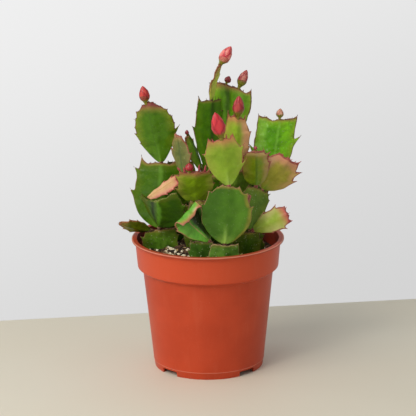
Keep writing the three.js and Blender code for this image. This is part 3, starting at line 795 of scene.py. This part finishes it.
def addThorn(bm, place, length, lean, radius):
    # a stout flattened thorn that ends in a point
    turned = Matrix.Rotation(radians(lean), 4, "Y") @ Matrix.Diagonal((1, tufts["flat"], 1, 1))
    shape = Matrix.Translation(place) @ turned @ Matrix.Translation((0, 0, length / 2 - tufts["buried"]))
    points = bmesh.ops.create_cone(bm, cap_ends=True, segments=6, radius1=radius,
                                   radius2=radius * tufts["point"], depth=length + tufts["buried"] * 2,
                                   matrix=shape)["verts"]
    useMaterial(points, spikeSlot)


def addMarginWool(bm, row, dice):
    # wool and a bristle in each notch, and thorns on the teeth and on the two corners
    narrow, growth = tufts["wide"]
    lengths, thin = tufts["notchThorn"]
    _, spurOut, spurUp = stem["spur"]
    short, longer, radius = tufts["spurThorn"]
    for place, *sizes in row["teeth"]:
        notch = min(place + stem["toothDrop"], 1)
        for side, size in zip((-1, 1), sizes):
            if size < tufts["least"]:
                continue
            spot = skinPoint(row, notch, side)
            wide = narrow + growth * size
            addTuft(bm, spot, (wide, tufts["deep"], wide * tufts["tall"]))
            addThorn(bm, spot, dice.uniform(*lengths), side * dice.uniform(35, 70), thin)
            peak = skinPoint(row, place, side, out=size * spurOut, up=size * spurUp)
            addThorn(bm, peak, short + longer * size, side * dice.uniform(5, 25), radius)
    short, longer, radius = tufts["hornThorn"]
    for side, horn in zip((-1, 1), row["horns"]):
        addThorn(bm, skinPoint(row, 1, side), short + longer * horn, side * dice.uniform(0, 20), radius)


def addTipWool(bm, row, look, wave, dice):
    # crusty cushions and a few bristles along the tip edge
    count = round(row["wide"] * tufts["perMillimetre"])
    reach = tufts["reach"]
    for i in range(count):
        v = -reach + 2 * reach * i / (count - 1) + dice.uniform(-0.05, 0.05)
        size = look["crust"] * dice.uniform(0.55, 1)
        spot = skinPoint(row, 1, v, up=crestAt(row, v, wave) - tufts["sunk"])
        addTuft(bm, spot, [size * share for share in tufts["squash"]])
    for v, length, lean in look["spikes"]:
        addThorn(bm, skinPoint(row, 1, v, up=crestAt(row, v, wave)), length, lean, look["bristle"])


def addJoint(bm, row):
    # the swollen joint between a segment and the one that carries it
    points = addStub(bm, row["gap"] + tufts["jointBelow"], tufts["jointAbove"], *tufts["jointRadii"])
    bmesh.ops.scale(bm, vec=(1, tufts["jointFlat"], 1), verts=points)
    for point in points:
        point.co += noise.noise_vector(point.co) * 0.2
    useMaterial(points, woolSlot)


def stemFinish(name, look, seed):
    skin = Finish(name + "_skin", Coat_Weight=look["wax"], Coat_Roughness=0.17, Specular_IOR_Level=0.15)
    shift = (seed * 0.37, seed * 0.11, seed * 0.23)
    across, along, margin, tip = (skin.marked(key) for key in ("across", "along", "margin", "tip"))
    patch = skin.speckle(skinTones["patch"], 2, shift)
    mottle = skin.speckle(skinTones["mottle"], 3, shift, roughness=0.6)
    grain = skin.speckle(skinTones["grain"], 2, shift)
    wander = (patch - 0.5) * 1.6 + (mottle - 0.5) * 0.5

    # green in the middle, yellower towards the margins (on front_broad darker there, as painted shade),
    # with soft cloudy patches
    cloudy = skin.ease(patch * 0.65 + mottle * 0.35, 0.32, 0.68)
    skin.ground(cloudy, look["green"], look["shade"])
    skin.coat(skin.ease(grain, 0.45, 0.68) * 0.35, look["shade"])
    code, strength = look["rim"]
    outer = skin.ease(margin + wander * 4, 7.5, 0) * skin.ease(along, 0.1, 0.5)
    skin.coat(outer * strength, code)

    # stripes, some of them painted light and shade, and the midrib, painted pale towards the narrow end
    # in the foot colour, partly as a painted highlight
    stop = look["bandStop"]
    for place, width, code, strength in look["bands"]:
        near = skin.ease(abs(across + wander * 0.12 - place), width, width * 0.1)
        if stop:
            near = near * skin.ease(along + wander * 0.04, stop, stop - 0.08)
        skin.coat(near * strength, code)
    rib = skin.ease(abs(across + mottle * 0.06 - 0.03), 0.17, 0) * skin.ease(along, 0.42, 0.02)
    skin.coat(rib * 0.5, look["foot"])

    # the tip edge is tanned and flushed, and the narrow end is pale, partly a painted highlight
    code, reach, strength = look["tint"]
    tanned = skin.ease(tip + wander * reach * 0.8, reach * 2, reach * 0.3)
    skin.coat(tanned * strength * 0.6, skinTones["tan"])
    flushed = skin.ease(tip + wander * reach * 0.6, reach * 1.25, -reach * 0.2)
    skin.coat(flushed * strength, code)
    footAndHighlight = skin.ease(along + mottle * 0.06 + abs(across) * 0.1, 0.26, 0.04)
    skin.coat(footAndHighlight * 0.55, look["foot"])

    # pale flecks, partly real specks and partly painted glints, and the corky line round the margin
    flecksAndGlints = skin.ease(skin.speckle(skinTones["fleck"], 1, shift), 0.66, 0.74)
    skin.coat(flecksAndGlints * look["flecksAndGlints"], skinTones["pale"])
    code, width = look["edge"]
    lined = skin.ease(margin + (mottle - 0.5) * 0.8, width, width * 0.3) * skin.ease(along, 0.1, 0.6)
    skin.coat(lined * 0.9, code)
    skin.coat(skin.ease(grain, 0.5, 0.6) * lined * 0.6, skinTones["cork"])

    roughness = look["gloss"] + (mottle - 0.5) * 0.3 + lined * 0.2
    swelling = skin.speckle(skinTones["swelling"], 1, shift)
    return skin.end(roughness, mottle * 0.12 + grain * 0.04 + swelling * look["relief"], 1)


def woolFinish(name, dark, light):
    wool = Finish("areole_wool_" + name, Sheen_Weight=0.2)
    lumps = wool.speckle(0.9, 3)
    broad = wool.speckle(4, 1)
    wool.ground(wool.ease(lumps, 0.4, 0.65), dark, light)
    wool.coat(wool.ease(broad, 0.45, 0.6) * 0.5, dark)
    return wool.end(0.85 + lumps * 0.1, lumps, 0.3)


def thornFinish(name, dark, light):
    thorn = Finish("thorn_" + name)
    tone = thorn.speckle(1.5, 2)
    thorn.ground(tone, dark, light)
    return thorn.end(0.5 + tone * 0.1)


grown = {}


def makeStems():
    wools = {name: woolFinish(name, *pair) for name, pair in woolTones.items()}
    thorns = {name: thornFinish(name, *pair) for name, pair in thornTones.items()}
    growths = (*segments.values(), *buds.values())
    for number, (name, given) in enumerate(segments.items()):
        row = {**usual, **given}
        row["carried"] = [item.get("at", 0) for item in growths if item.get("on") == name]
        look = {**usualLook, **looks.get(name, {})}
        grown[name] = (row, placed(row, startOf(row)))
        dice = random.Random(number)
        wave = dice.uniform(0, 6)
        bm = bmesh.new()
        makeBlade(bm, row, wave)
        addMarginWool(bm, row, dice)
        addTipWool(bm, row, look, wave, dice)
        if "on" in row:
            addJoint(bm, row)
        materials = [stemFinish(name, look, number), wools[look["thorns"]], thorns[look["thorns"]]]
        piece = meshPiece(name + "_skin", bm, materials, grown[name][1])
        smooth = piece.modifiers.new("smooth", "SUBSURF")
        smooth.levels = smooth.render_levels = 1
        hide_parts(name)
        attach(piece, "root")
    print("stem segments", len(segments))


# Flower buds, on a segment's tip edge.
# on, at, lean, tip  as for a segment
# long, thick        its size
# skin               darker and lighter red
# sepal              colour of the lowest petals, else the darker red
# neck               share of the height that is still green
buds = {
    "left_bud": dict(
        skin=("a82c30", "cc4c44"), sepal="74402a", on="left_top", at=-0.42, lean=-10, tip=4, long=12.2,
        thick=6.8, neck=0.14),
    "blush_bud": dict(
        skin=("a82c3c", "cc4c54"), on="left_blush", lean=60, tip=12, long=2.8, thick=2.2, neck=0.1),
    "round_bud": dict(
        skin=("9c2430", "b03c40"), on="centre_round", at=-0.35, tip=10, long=6, thick=5.6, neck=0.12),
    "blade_bud": dict(skin=("701c24", "983038"), on="centre_blade", long=3.6, thick=2.6, neck=0.15),
    "front_bud": dict(
        skin=("b82434", "d84048"), sepal="bc3c44", on="front_upper", at=0.06, lean=-13, tip=6,
        long=18.6, thick=8.8, neck=0.14),
    "inner_bud": dict(
        skin=("982834", "bc4c48"), sepal="84543a", on="inner_upper", at=0.1, lean=4, tip=8, long=15.6,
        thick=7.4, neck=0.22),
    "top_bud": dict(
        skin=("c83848", "ec8c84"), sepal="b86c5c", on="middle_stalk", lean=30, tip=8, long=14.8,
        thick=7.6, neck=0.14),
    "broad_bud": dict(
        skin=("a83440", "d4887c"), sepal="6c5028", on="inner_broad", at=0.4, lean=24, long=13.4,
        thick=6.2, neck=0.3),
    "broad_small_bud": dict(
        skin=("843038", "a84850"), on="inner_broad", at=-0.2, lean=22, tip=4, long=5.4, thick=4.4,
        neck=0.2),
    "pale_bud": dict(
        skin=("b87460", "d8a48c"), sepal="9c8454", on="right_top", at=0.1, lean=4, long=6.8, thick=4.8,
        neck=0.3),
    "right_bud": dict(skin=("9c3440", "b8505a"), on="right_front", tip=4, long=3, thick=2.2, neck=0.1),
    "back_bud": dict(
        skin=("c03840", "dc5a5c"), on="back_upper", lean=-6, tip=-10, long=13, thick=6.6, neck=0.14),
}
petal = {
    # the bud's outline: share of half the thickness, share of the height
    "outline": ((0.3, 0), (0.4, 0.1), (0.82, 0.24), (1, 0.42), (0.86, 0.66), (0.46, 0.88), (0.03, 1)),
    # each whorl: how many, from and to which share of the height, half the angle one spans, how far out
    "whorls": ((2, 0.05, 0.5, 78, 0.46), (3, 0.1, 0.76, 66, 0.28), (3, 0.2, 0.99, 64, 0.1)),
    "whorlTurn": 50, "twist": 22, "thickness": 0.08, "lift": 0.04, "slope": 0.04, "grid": (6, 9),
    # buds thinner than this have thinner petals too
    "fullThick": 6,
    "core": 0.95, "sides": 24, "rings": 18, "sharpFrom": 40,
    # the stalk: shares of the bud's thickness, how far it reaches past the gap and into the bud
    "stalkRadii": (0.17, 0.2), "stalkBelow": 0.5, "stalkAbove": 0.6,
    # rim is the painted shade along each petal's edge
    "mottle": 4, "streak": 1.4, "rim": "8c2030", "green": "7c8024",
}


def budRadius(h):
    # the outline's radius at a share of the height
    points = petal["outline"]
    for (r0, h0), (r1, h1) in zip(points, points[1:]):
        if h <= h1:
            return r0 + (r1 - r0) * (h - h0) / (h1 - h0)
    return points[-1][0]


def makeCore(bud):
    # the closed heart of the bud, under its petals
    chain = [(0, 0)]
    for i in range(petal["rings"] + 1):
        h = i / petal["rings"]
        chain.append((budRadius(h) * bud["thick"] / 2 * petal["core"], h * bud["long"]))
    return spun(chain + [(0, bud["long"])], petal["sides"])


def makePetal(bm, bud, low, high, spread, out, around, outer):
    rise, across, sepal = marks(bm, "rise", "across", "sepal")
    columns, rows = petal["grid"]
    small = min(1, bud["thick"] / petal["fullThick"])
    made = bmesh.ops.create_grid(bm, x_segments=columns, y_segments=rows, size=1)["verts"]
    for point in made:
        p, q = point.co.x, (point.co.y + 1) / 2
        h = low + (high - low) * q
        narrowing = sqrt(max(0, 1 - q ** 4)) * (0.72 + 0.28 * sin(q * pi))
        angle = radians(around + petal["twist"] * q + p * spread * narrowing)
        lift = out + petal["lift"] * q ** 6 + petal["slope"] * p * min(1, 4 - 4 * q)
        radius = budRadius(h) * bud["thick"] / 2 + lift * small
        point.co = Vector((radius * cos(angle), radius * sin(angle), h * bud["long"]))
        point[rise], point[across], point[sepal] = h, p, outer
    bm.normal_update()
    bmesh.ops.solidify(bm, geom=facesOf(made), thickness=petal["thickness"] * small)


def budFinish(name, bud, seed):
    skin = Finish(name + "_petals", Subsurface_Weight=0.1, Subsurface_Scale=0.001, Coat_Weight=0.12,
                  Coat_Roughness=0.2, Specular_IOR_Level=0.3)
    shift = (seed * 0.31, seed * 0.17, seed * 0.29)
    rise, across, sepal = (skin.marked(key) for key in ("rise", "across", "sepal"))
    mottle = skin.speckle(petal["mottle"], 1, shift)
    streak = skin.speckle(petal["streak"], 1, shift, stretch=(1, 1, 0.15))
    low, high = bud["skin"]
    # each petal is painted palest along its middle and darker at its edges, painted light and shade
    # across it, and the bud is green at its foot
    middle = skin.ease(abs(across) + (mottle - 0.5) * 0.5 + (streak - 0.5) * 0.3, 0.85, 0.1)
    skin.ground(middle, low, high)
    skin.coat(skin.ease(rise, 0.7, 1) * 0.6, low)
    skin.coat(sepal * 0.75, bud.get("sepal", low))
    skin.coat(skin.ease(abs(across), 0.7, 1) * 0.4, petal["rim"])
    green = skin.ease(rise + (mottle - 0.5) * 0.12, bud["neck"] + 0.16, bud["neck"])
    skin.coat(green * 0.95, petal["green"])
    return skin.end(0.34 + (mottle - 0.5) * 0.2, streak, 0.05)


def makeBuds():
    for number, (name, bud) in enumerate(buds.items()):
        bm = makeCore(bud)
        rise, = marks(bm, "rise")
        for point in bm.verts:
            point[rise] = point.co.z / bud["long"]
        around = random.Random(100 + number).uniform(0, 360)
        for whorl, (count, low, high, spread, out) in enumerate(petal["whorls"]):
            for i in range(count):
                makePetal(bm, bud, low, high, spread, out, around + i * 360 / count, whorl == 0)
            around += petal["whorlTurn"]
        narrow, wide = petal["stalkRadii"]
        addStub(bm, joint + petal["stalkBelow"], petal["stalkAbove"],
                bud["thick"] * narrow, bud["thick"] * wide)
        finish = budFinish(name, bud, number)
        piece = meshPiece(name + "_petals", bm, [finish], placed(bud, startOf(bud)))
        piece.data.set_sharp_from_angle(angle=radians(petal["sharpFrom"]))
        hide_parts(name)
        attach(piece, "root")
    print("buds", len(buds))


# The pot

pot = {
    # radii, heights and thicknesses of the outline
    "rim": 52.5, "height": 91, "wall": 1.2, "lipWidth": 2.3, "lipThickness": 1.1,
    "collarHeight": 19.5, "collarBottom": 48.6, "bodyTop": 45.1, "bodyTopDrop": 2.6,
    "bodyEdge": (0.2, 1.2), "innerStep": 0.6, "floorHeight": 4.6, "floorChamfer": 1,
    "footTop": 38.3, "foot": 37.6, "footHeight": 4.9, "bead": 0.3,
    # the cuts in the foot, and the drain slots behind them
    "notches": 4, "firstNotch": 44, "notchWidth": 13.6, "notchHeight": 3.5, "notchDepth": 8,
    "slotLength": 11, "slotWidth": 3, "slotRadius": 30, "cutRounding": 0.7,
    "sides": 144, "rounding": 0.3, "roundFrom": 24, "sharpFrom": 34,
}
plasticTones = {
    # collar is painted light, lip and bead painted highlights, lipSide and inside painted shade; body,
    # shade, streak and dust are the plastic's own
    "body": "c04626", "shade": "b03c1e", "collar": "cc4e2c", "lipSide": "a4402a", "lip": "e8a890",
    "bead": "e09078", "streak": "d88868", "dust": "d8a088",
    "inside": ("702010", "8c2c16"), "insideDust": "9c6048",
}
# the inside's place in the list of materials
insideSlot = 1
collarBottom = pot["height"] - pot["collarHeight"]
collarTop = pot["rim"] - pot["lipWidth"]
bodyTop = collarBottom - pot["bodyTopDrop"]
lipUnder = pot["height"] - pot["lipThickness"]
floorTop = pot["floorHeight"] + pot["wall"]


def potProfile():
    # from the middle of the floor's underside round the foot, the rim and the inside to the floor's top
    wall, bead, chamfer = pot["wall"], pot["bead"], pot["floorChamfer"]
    footInner = pot["foot"] - wall
    edgeIn, edgeDown = pot["bodyEdge"]
    return [
        (0, pot["floorHeight"]),
        (footInner - chamfer, pot["floorHeight"]),
        (footInner, pot["floorHeight"] - chamfer),
        (footInner, 0),
        (pot["foot"], 0),
        (pot["footTop"], pot["footHeight"] - bead),
        (pot["footTop"] + bead, pot["footHeight"]),
        (pot["footTop"] + bead * 0.5, pot["footHeight"] + bead),
        (pot["bodyTop"] - edgeIn, bodyTop - edgeDown),
        (pot["bodyTop"], bodyTop),
        (pot["collarBottom"], collarBottom),
        (collarTop, lipUnder),
        (pot["rim"], lipUnder),
        (pot["rim"], pot["height"]),
        (collarTop - wall, pot["height"]),
        (pot["collarBottom"] - wall, collarBottom + pot["innerStep"]),
        (pot["bodyTop"] - wall, bodyTop + pot["innerStep"]),
        (pot["footTop"] - wall, floorTop),
        (0, floorTop),
    ]


def makeCuts():
    # what the cuts in the foot and the drain slots behind them take away
    bm = bmesh.new()
    for i in range(pot["notches"]):
        turn = Matrix.Rotation(radians(pot["firstNotch"] + i * 360 / pot["notches"]), 4, "Z")
        notch = Matrix.Diagonal((pot["notchDepth"], pot["notchWidth"], pot["notchHeight"] * 2, 1))
        slot = Matrix.Diagonal((pot["slotWidth"], pot["slotLength"], floorTop * 3, 1))
        for radius, size in ((pot["foot"], notch), (pot["slotRadius"], slot)):
            bmesh.ops.create_cube(bm, size=1, matrix=turn @ Matrix.Translation((radius, 0, 0)) @ size)
    roundEdges(bm, bm.edges[:], pot["cutRounding"])
    return meshPiece("cuts", bm, [])


def makePot():
    bm = spun(potProfile(), pot["sides"])
    steep = radians(pot["roundFrom"])
    rings = [edge for edge in bm.edges if len(edge.link_faces) == 2 and edge.calc_face_angle() > steep]
    roundEdges(bm, rings, pot["rounding"])
    # the collar's inside has a darker material of its own, painted shade for the shadow inside the pot
    for face in bm.faces:
        middle = face.calc_center_median()
        inward = middle.xy.dot(face.normal.xy) < 0
        if inward and collarBottom < middle.z < pot["height"] - 0.2:
            face.material_index = insideSlot
    shell = meshPiece("pot_shell", bm, [potFinish(), potInside()])

    cutter = makeCuts()
    cut = shell.modifiers.new("cuts", "BOOLEAN")
    cut.object = cutter
    cut.solver = "EXACT"
    drawn = shell.evaluated_get(bpy.context.evaluated_depsgraph_get())
    shell.data = bpy.data.meshes.new_from_object(drawn)
    shell.modifiers.clear()
    bpy.data.objects.remove(cutter)
    shell.data.set_sharp_from_angle(angle=radians(pot["sharpFrom"]))
    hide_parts("pot")
    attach(shell, "root")
    print("pot faces", len(shell.data.polygons))


def potFinish():
    plastic = Finish("pot_plastic", Specular_IOR_Level=0.22, Coat_Weight=0.03, Coat_Roughness=0.25)
    tones = plasticTones
    cloud = plastic.speckle(22, 3)
    streak = plastic.speckle(5, 3, stretch=(1, 1, 0.12))
    dust = plastic.speckle(0.9, 3, roughness=0.7)
    grain = plastic.speckle(0.35, 2)
    height = plastic.height()

    def above(level, start, stop):
        # 0 below a height and 1 over it, eased from start to stop millimetres past it
        return plastic.ease(height, (level + start) * mm, (level + stop) * mm)

    plastic.ground(plastic.ease(cloud, 0.3, 0.7) * 0.6, tones["body"], tones["shade"])
    # painted light: the collar is a little lighter, where more light falls on it
    plastic.coat(above(collarBottom, -3, 2), tones["collar"])
    # painted shade: the lip, from its underside up, is darker
    plastic.coat(above(lipUnder, -0.5, 0.1) * 0.8, tones["lipSide"])
    # the lip's outer edge and the bead over the foot catch the light
    outermost = plastic.ease(plastic.reach(), (pot["rim"] - 1) * mm, (pot["rim"] - 0.5) * mm)
    plastic.coat(outermost * above(pot["height"], -0.6, -0.3) * 0.5, tones["lip"])
    away = abs(height - pot["footHeight"] * mm)
    bead = plastic.ease(away, pot["bead"] * 1.2 * mm, pot["bead"] * 0.4 * mm)
    plastic.coat(bead * 0.5, tones["bead"])
    plastic.coat(plastic.ease(streak, 0.52, 0.75) * 0.05, tones["streak"])
    plastic.coat(plastic.ease(dust, 0.62, 0.76) * 0.2, tones["dust"])
    roughness = 0.38 + (streak - 0.5) * 0.06 + plastic.ease(dust, 0.6, 0.75) * 0.2
    return plastic.end(roughness, grain * 0.5 + cloud, 0.05)


def potInside():
    # painted shade: the inside is darker, as it lies in shadow; the dust on it is the pot's own
    plastic = Finish("pot_inside", Specular_IOR_Level=0.25)
    cloud = plastic.speckle(9, 3)
    dust = plastic.speckle(1.2, 3, roughness=0.7)
    plastic.ground(plastic.ease(cloud, 0.35, 0.65), *plasticTones["inside"])
    plastic.coat(plastic.ease(dust, 0.6, 0.75) * 0.3, plasticTones["insideDust"])
    return plastic.end(0.45 + dust * 0.15, cloud, 0.05)


# The potting mix

soil = {
    "clearance": 0.3, "sides": 96, "rings": 30,
    # how high the middle stands over the edge, and its shoulder as shares of the radius and that height
    "crown": 1.8, "shoulder": (0.6, 0.7),
    # the clods: height, and the sizes of the broad and the fine ones
    "clods": 0.8, "lump": 7, "fineLump": 2.2,
    # how many, their least and greatest size, and the lengths of their sides as shares of it
    "chips": 1500, "chip": (0.8, 2.6), "chipLong": (1, 1.8), "chipFlat": (0.35, 0.7),
    "grains": 170, "grain": (0.8, 2), "grainWide": (0.75, 1), "grainFlat": 0.8, "grainRadius": 0.6,
    "ragged": 0.16, "raised": 0.12, "crumbLean": 0.7, "edgeFree": 1.2,
    # shavings of bark: how far they curl in radians, half width and radius
    "curls": 40, "curl": ((1.6, 3.6), (0.5, 1.1), (0.8, 1.7)), "curlLean": 0.5, "curlRaised": 0.5,
    "curlThickness": 0.3,
    # the pale grains that the picture shows: right of the axis, behind it, size
    "seenGrains": (
        (-35, 3, 2.7), (-30, 10, 2.9), (-27.5, 7.6, 2.7), (-25.6, 2.6, 3.4), (-29, -2, 2.4),
        (-24, 0, 3.3), (-20, -7, 2.7), (-13.8, 0, 2.7), (-12.4, -3, 2.7), (-16.5, -12, 3.2),
        (-12.3, -17, 2.7), (-8.2, -15, 2.7), (-20, -18, 2.6), (-27, -14, 2.4), (-22.6, -3, 2.9),
        (-18, -2, 2.4), (-26, -7, 2.9), (-31, -8, 2.2), (-33, -13, 2.7), (-24, -12, 3),
        (-14, -22, 2.8), (-9, -20, 2.4), (-21, -23, 2.7)),
    # tone from 0 to 1 of the crumbs and of the bark curls
    "crumbTone": 0.35, "curlTone": 0.75,
    "dark": "1c120a", "light": "74543a", "damp": "140c08", "bark": "b4986c",
    "grainTones": ("ccb88c", "f4ecd4"), "pore": "94805c",
}
# the pale grains' place in the list of materials
grainSlot = 1
soilInset = pot["wall"] + soil["clearance"]
collarSlope = (collarTop - pot["collarBottom"]) / (lipUnder - collarBottom)
soilRadius = pot["collarBottom"] + (stem["soilEdge"] - collarBottom) * collarSlope - soilInset


def soilTop(x, y):
    # a low crown with clods in it
    share = min(1, hypot(x, y) / soilRadius)
    place, rise = soil["shoulder"]
    if share < place:
        crown = 1 - (1 - rise) * share / place
    else:
        crown = rise * (1 - share) / (1 - place)
    broad = noise.noise(Vector((x, y, 3)) / soil["lump"])
    fine = noise.noise(Vector((x, y, 9)) / soil["fineLump"])
    return stem["soilEdge"] + soil["crown"] * crown + soil["clods"] * (broad + 0.5 * fine)


def scatter(dice):
    radius = (soilRadius - soil["edgeFree"]) * sqrt(dice.random())
    angle = dice.uniform(0, 2 * pi)
    return radius * cos(angle), radius * sin(angle)


def anyTurn(dice, lean, axis):
    # turned any way round, and leaning by up to lean radians
    around = Matrix.Rotation(dice.uniform(0, 6.3), 4, "Z")
    return around @ Matrix.Rotation(dice.uniform(-lean, lean), 4, axis)


def addCrumb(bm, tone, dice, x, y, size, value, pale=False):
    # a dark chip of bark, or a rounder pale grain
    spot = Matrix.Translation((x, y, soilTop(x, y) + size * soil["raised"]))
    place = spot @ anyTurn(dice, soil["crumbLean"], "X")
    if pale:
        wide = size * dice.uniform(*soil["grainWide"])
        shape = Matrix.Diagonal((size, wide, size * soil["grainFlat"], 1))
        points = bmesh.ops.create_icosphere(bm, subdivisions=1, radius=soil["grainRadius"],
                                            matrix=place @ shape)["verts"]
    else:
        long = size * dice.uniform(*soil["chipLong"])
        shape = Matrix.Diagonal((long, size, size * dice.uniform(*soil["chipFlat"]), 1))
        points = bmesh.ops.create_cube(bm, size=1, matrix=place @ shape)["verts"]
    ragged = soil["ragged"]
    for point in points:
        point.co += Vector([dice.uniform(-ragged, ragged) * size for _ in range(3)])
        point[tone] = value
    for face in facesOf(points):
        face.material_index = grainSlot if pale else 0
        face.smooth = pale


def addCurl(bm, tone, dice):
    # a thin curled shaving of bark
    points = bmesh.ops.create_grid(bm, x_segments=1, y_segments=6, size=1)["verts"]
    bend, width, radius = (dice.uniform(*limits) for limits in soil["curl"])
    x, y = scatter(dice)
    spot = Matrix.Translation((x, y, soilTop(x, y) + soil["curlRaised"]))
    place = spot @ anyTurn(dice, soil["curlLean"], "Y")
    for point in points:
        angle = point.co.y * bend / 2
        curled = (point.co.x * width, radius * sin(angle), radius * (1 - cos(angle)))
        point.co = place @ Vector(curled)
        point[tone] = soil["curlTone"]
    faces = facesOf(points)
    bmesh.ops.recalc_face_normals(bm, faces=faces)
    bmesh.ops.solidify(bm, geom=faces, thickness=soil["curlThickness"])


def makeSoil():
    inset, clearance = soilInset, soil["clearance"]
    profile = [
        (0, floorTop + clearance),
        (pot["footTop"] - inset, floorTop + clearance),
        (pot["bodyTop"] - inset, bodyTop + pot["innerStep"]),
        (pot["collarBottom"] - inset, collarBottom + pot["innerStep"] + clearance),
    ]
    rings = soil["rings"]
    profile += [(soilRadius * (1 - i / rings), stem["soilEdge"]) for i in range(rings + 1)]
    bm = spun(profile, soil["sides"])
    tone, = marks(bm, "tone")
    for point in bm.verts:
        point[tone] = soil["crumbTone"]
        if point.co.z > stem["soilEdge"] - 0.1:
            point.co.z = soilTop(point.co.x, point.co.y)
    dice = random.Random(7)
    for i in range(soil["chips"]):
        size = dice.uniform(*soil["chip"]) * dice.uniform(0.6, 1)
        addCrumb(bm, tone, dice, *scatter(dice), size, dice.random())
    for i in range(soil["grains"]):
        addCrumb(bm, tone, dice, *scatter(dice), dice.uniform(*soil["grain"]), dice.random(), True)
    for x, y, size in soil["seenGrains"]:
        addCrumb(bm, tone, dice, x, y, size, dice.uniform(0.6, 1), True)
    for i in range(soil["curls"]):
        addCurl(bm, tone, dice)
    fill = meshPiece("potting_mix_fill", bm, [mixFinish(), grainFinish()], flat=True)
    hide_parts("potting_mix")
    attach(fill, "root")
    print("potting mix faces", len(fill.data.polygons))


def mixFinish():
    mix = Finish("potting_mix")
    tone = mix.marked("tone")
    crumb = mix.speckle(0.8, 3)
    broad = mix.speckle(9, 2)
    mix.ground(mix.ease(tone + (crumb - 0.5) * 0.6, 0.1, 0.9), soil["dark"], soil["light"])
    mix.coat(mix.ease(broad, 0.45, 0.7) * 0.4, soil["damp"])
    mix.coat(mix.ease(tone, 0.86, 0.9), soil["bark"])
    return mix.end(0.82 + crumb * 0.12, crumb, 0.35)


def grainFinish():
    pale = Finish("perlite")
    pore = pale.speckle(0.5, 2)
    pale.ground(pale.marked("tone"), *soil["grainTones"])
    pale.coat(pale.ease(pore, 0.55, 0.7) * 0.5, soil["pore"])
    return pale.end(0.8 + pore * 0.1, pore, 0.2)


makeCamera()
makeRoom()
makeTable()
makeStems()
makeBuds()
makePot()
makeSoil()

print("scene made")
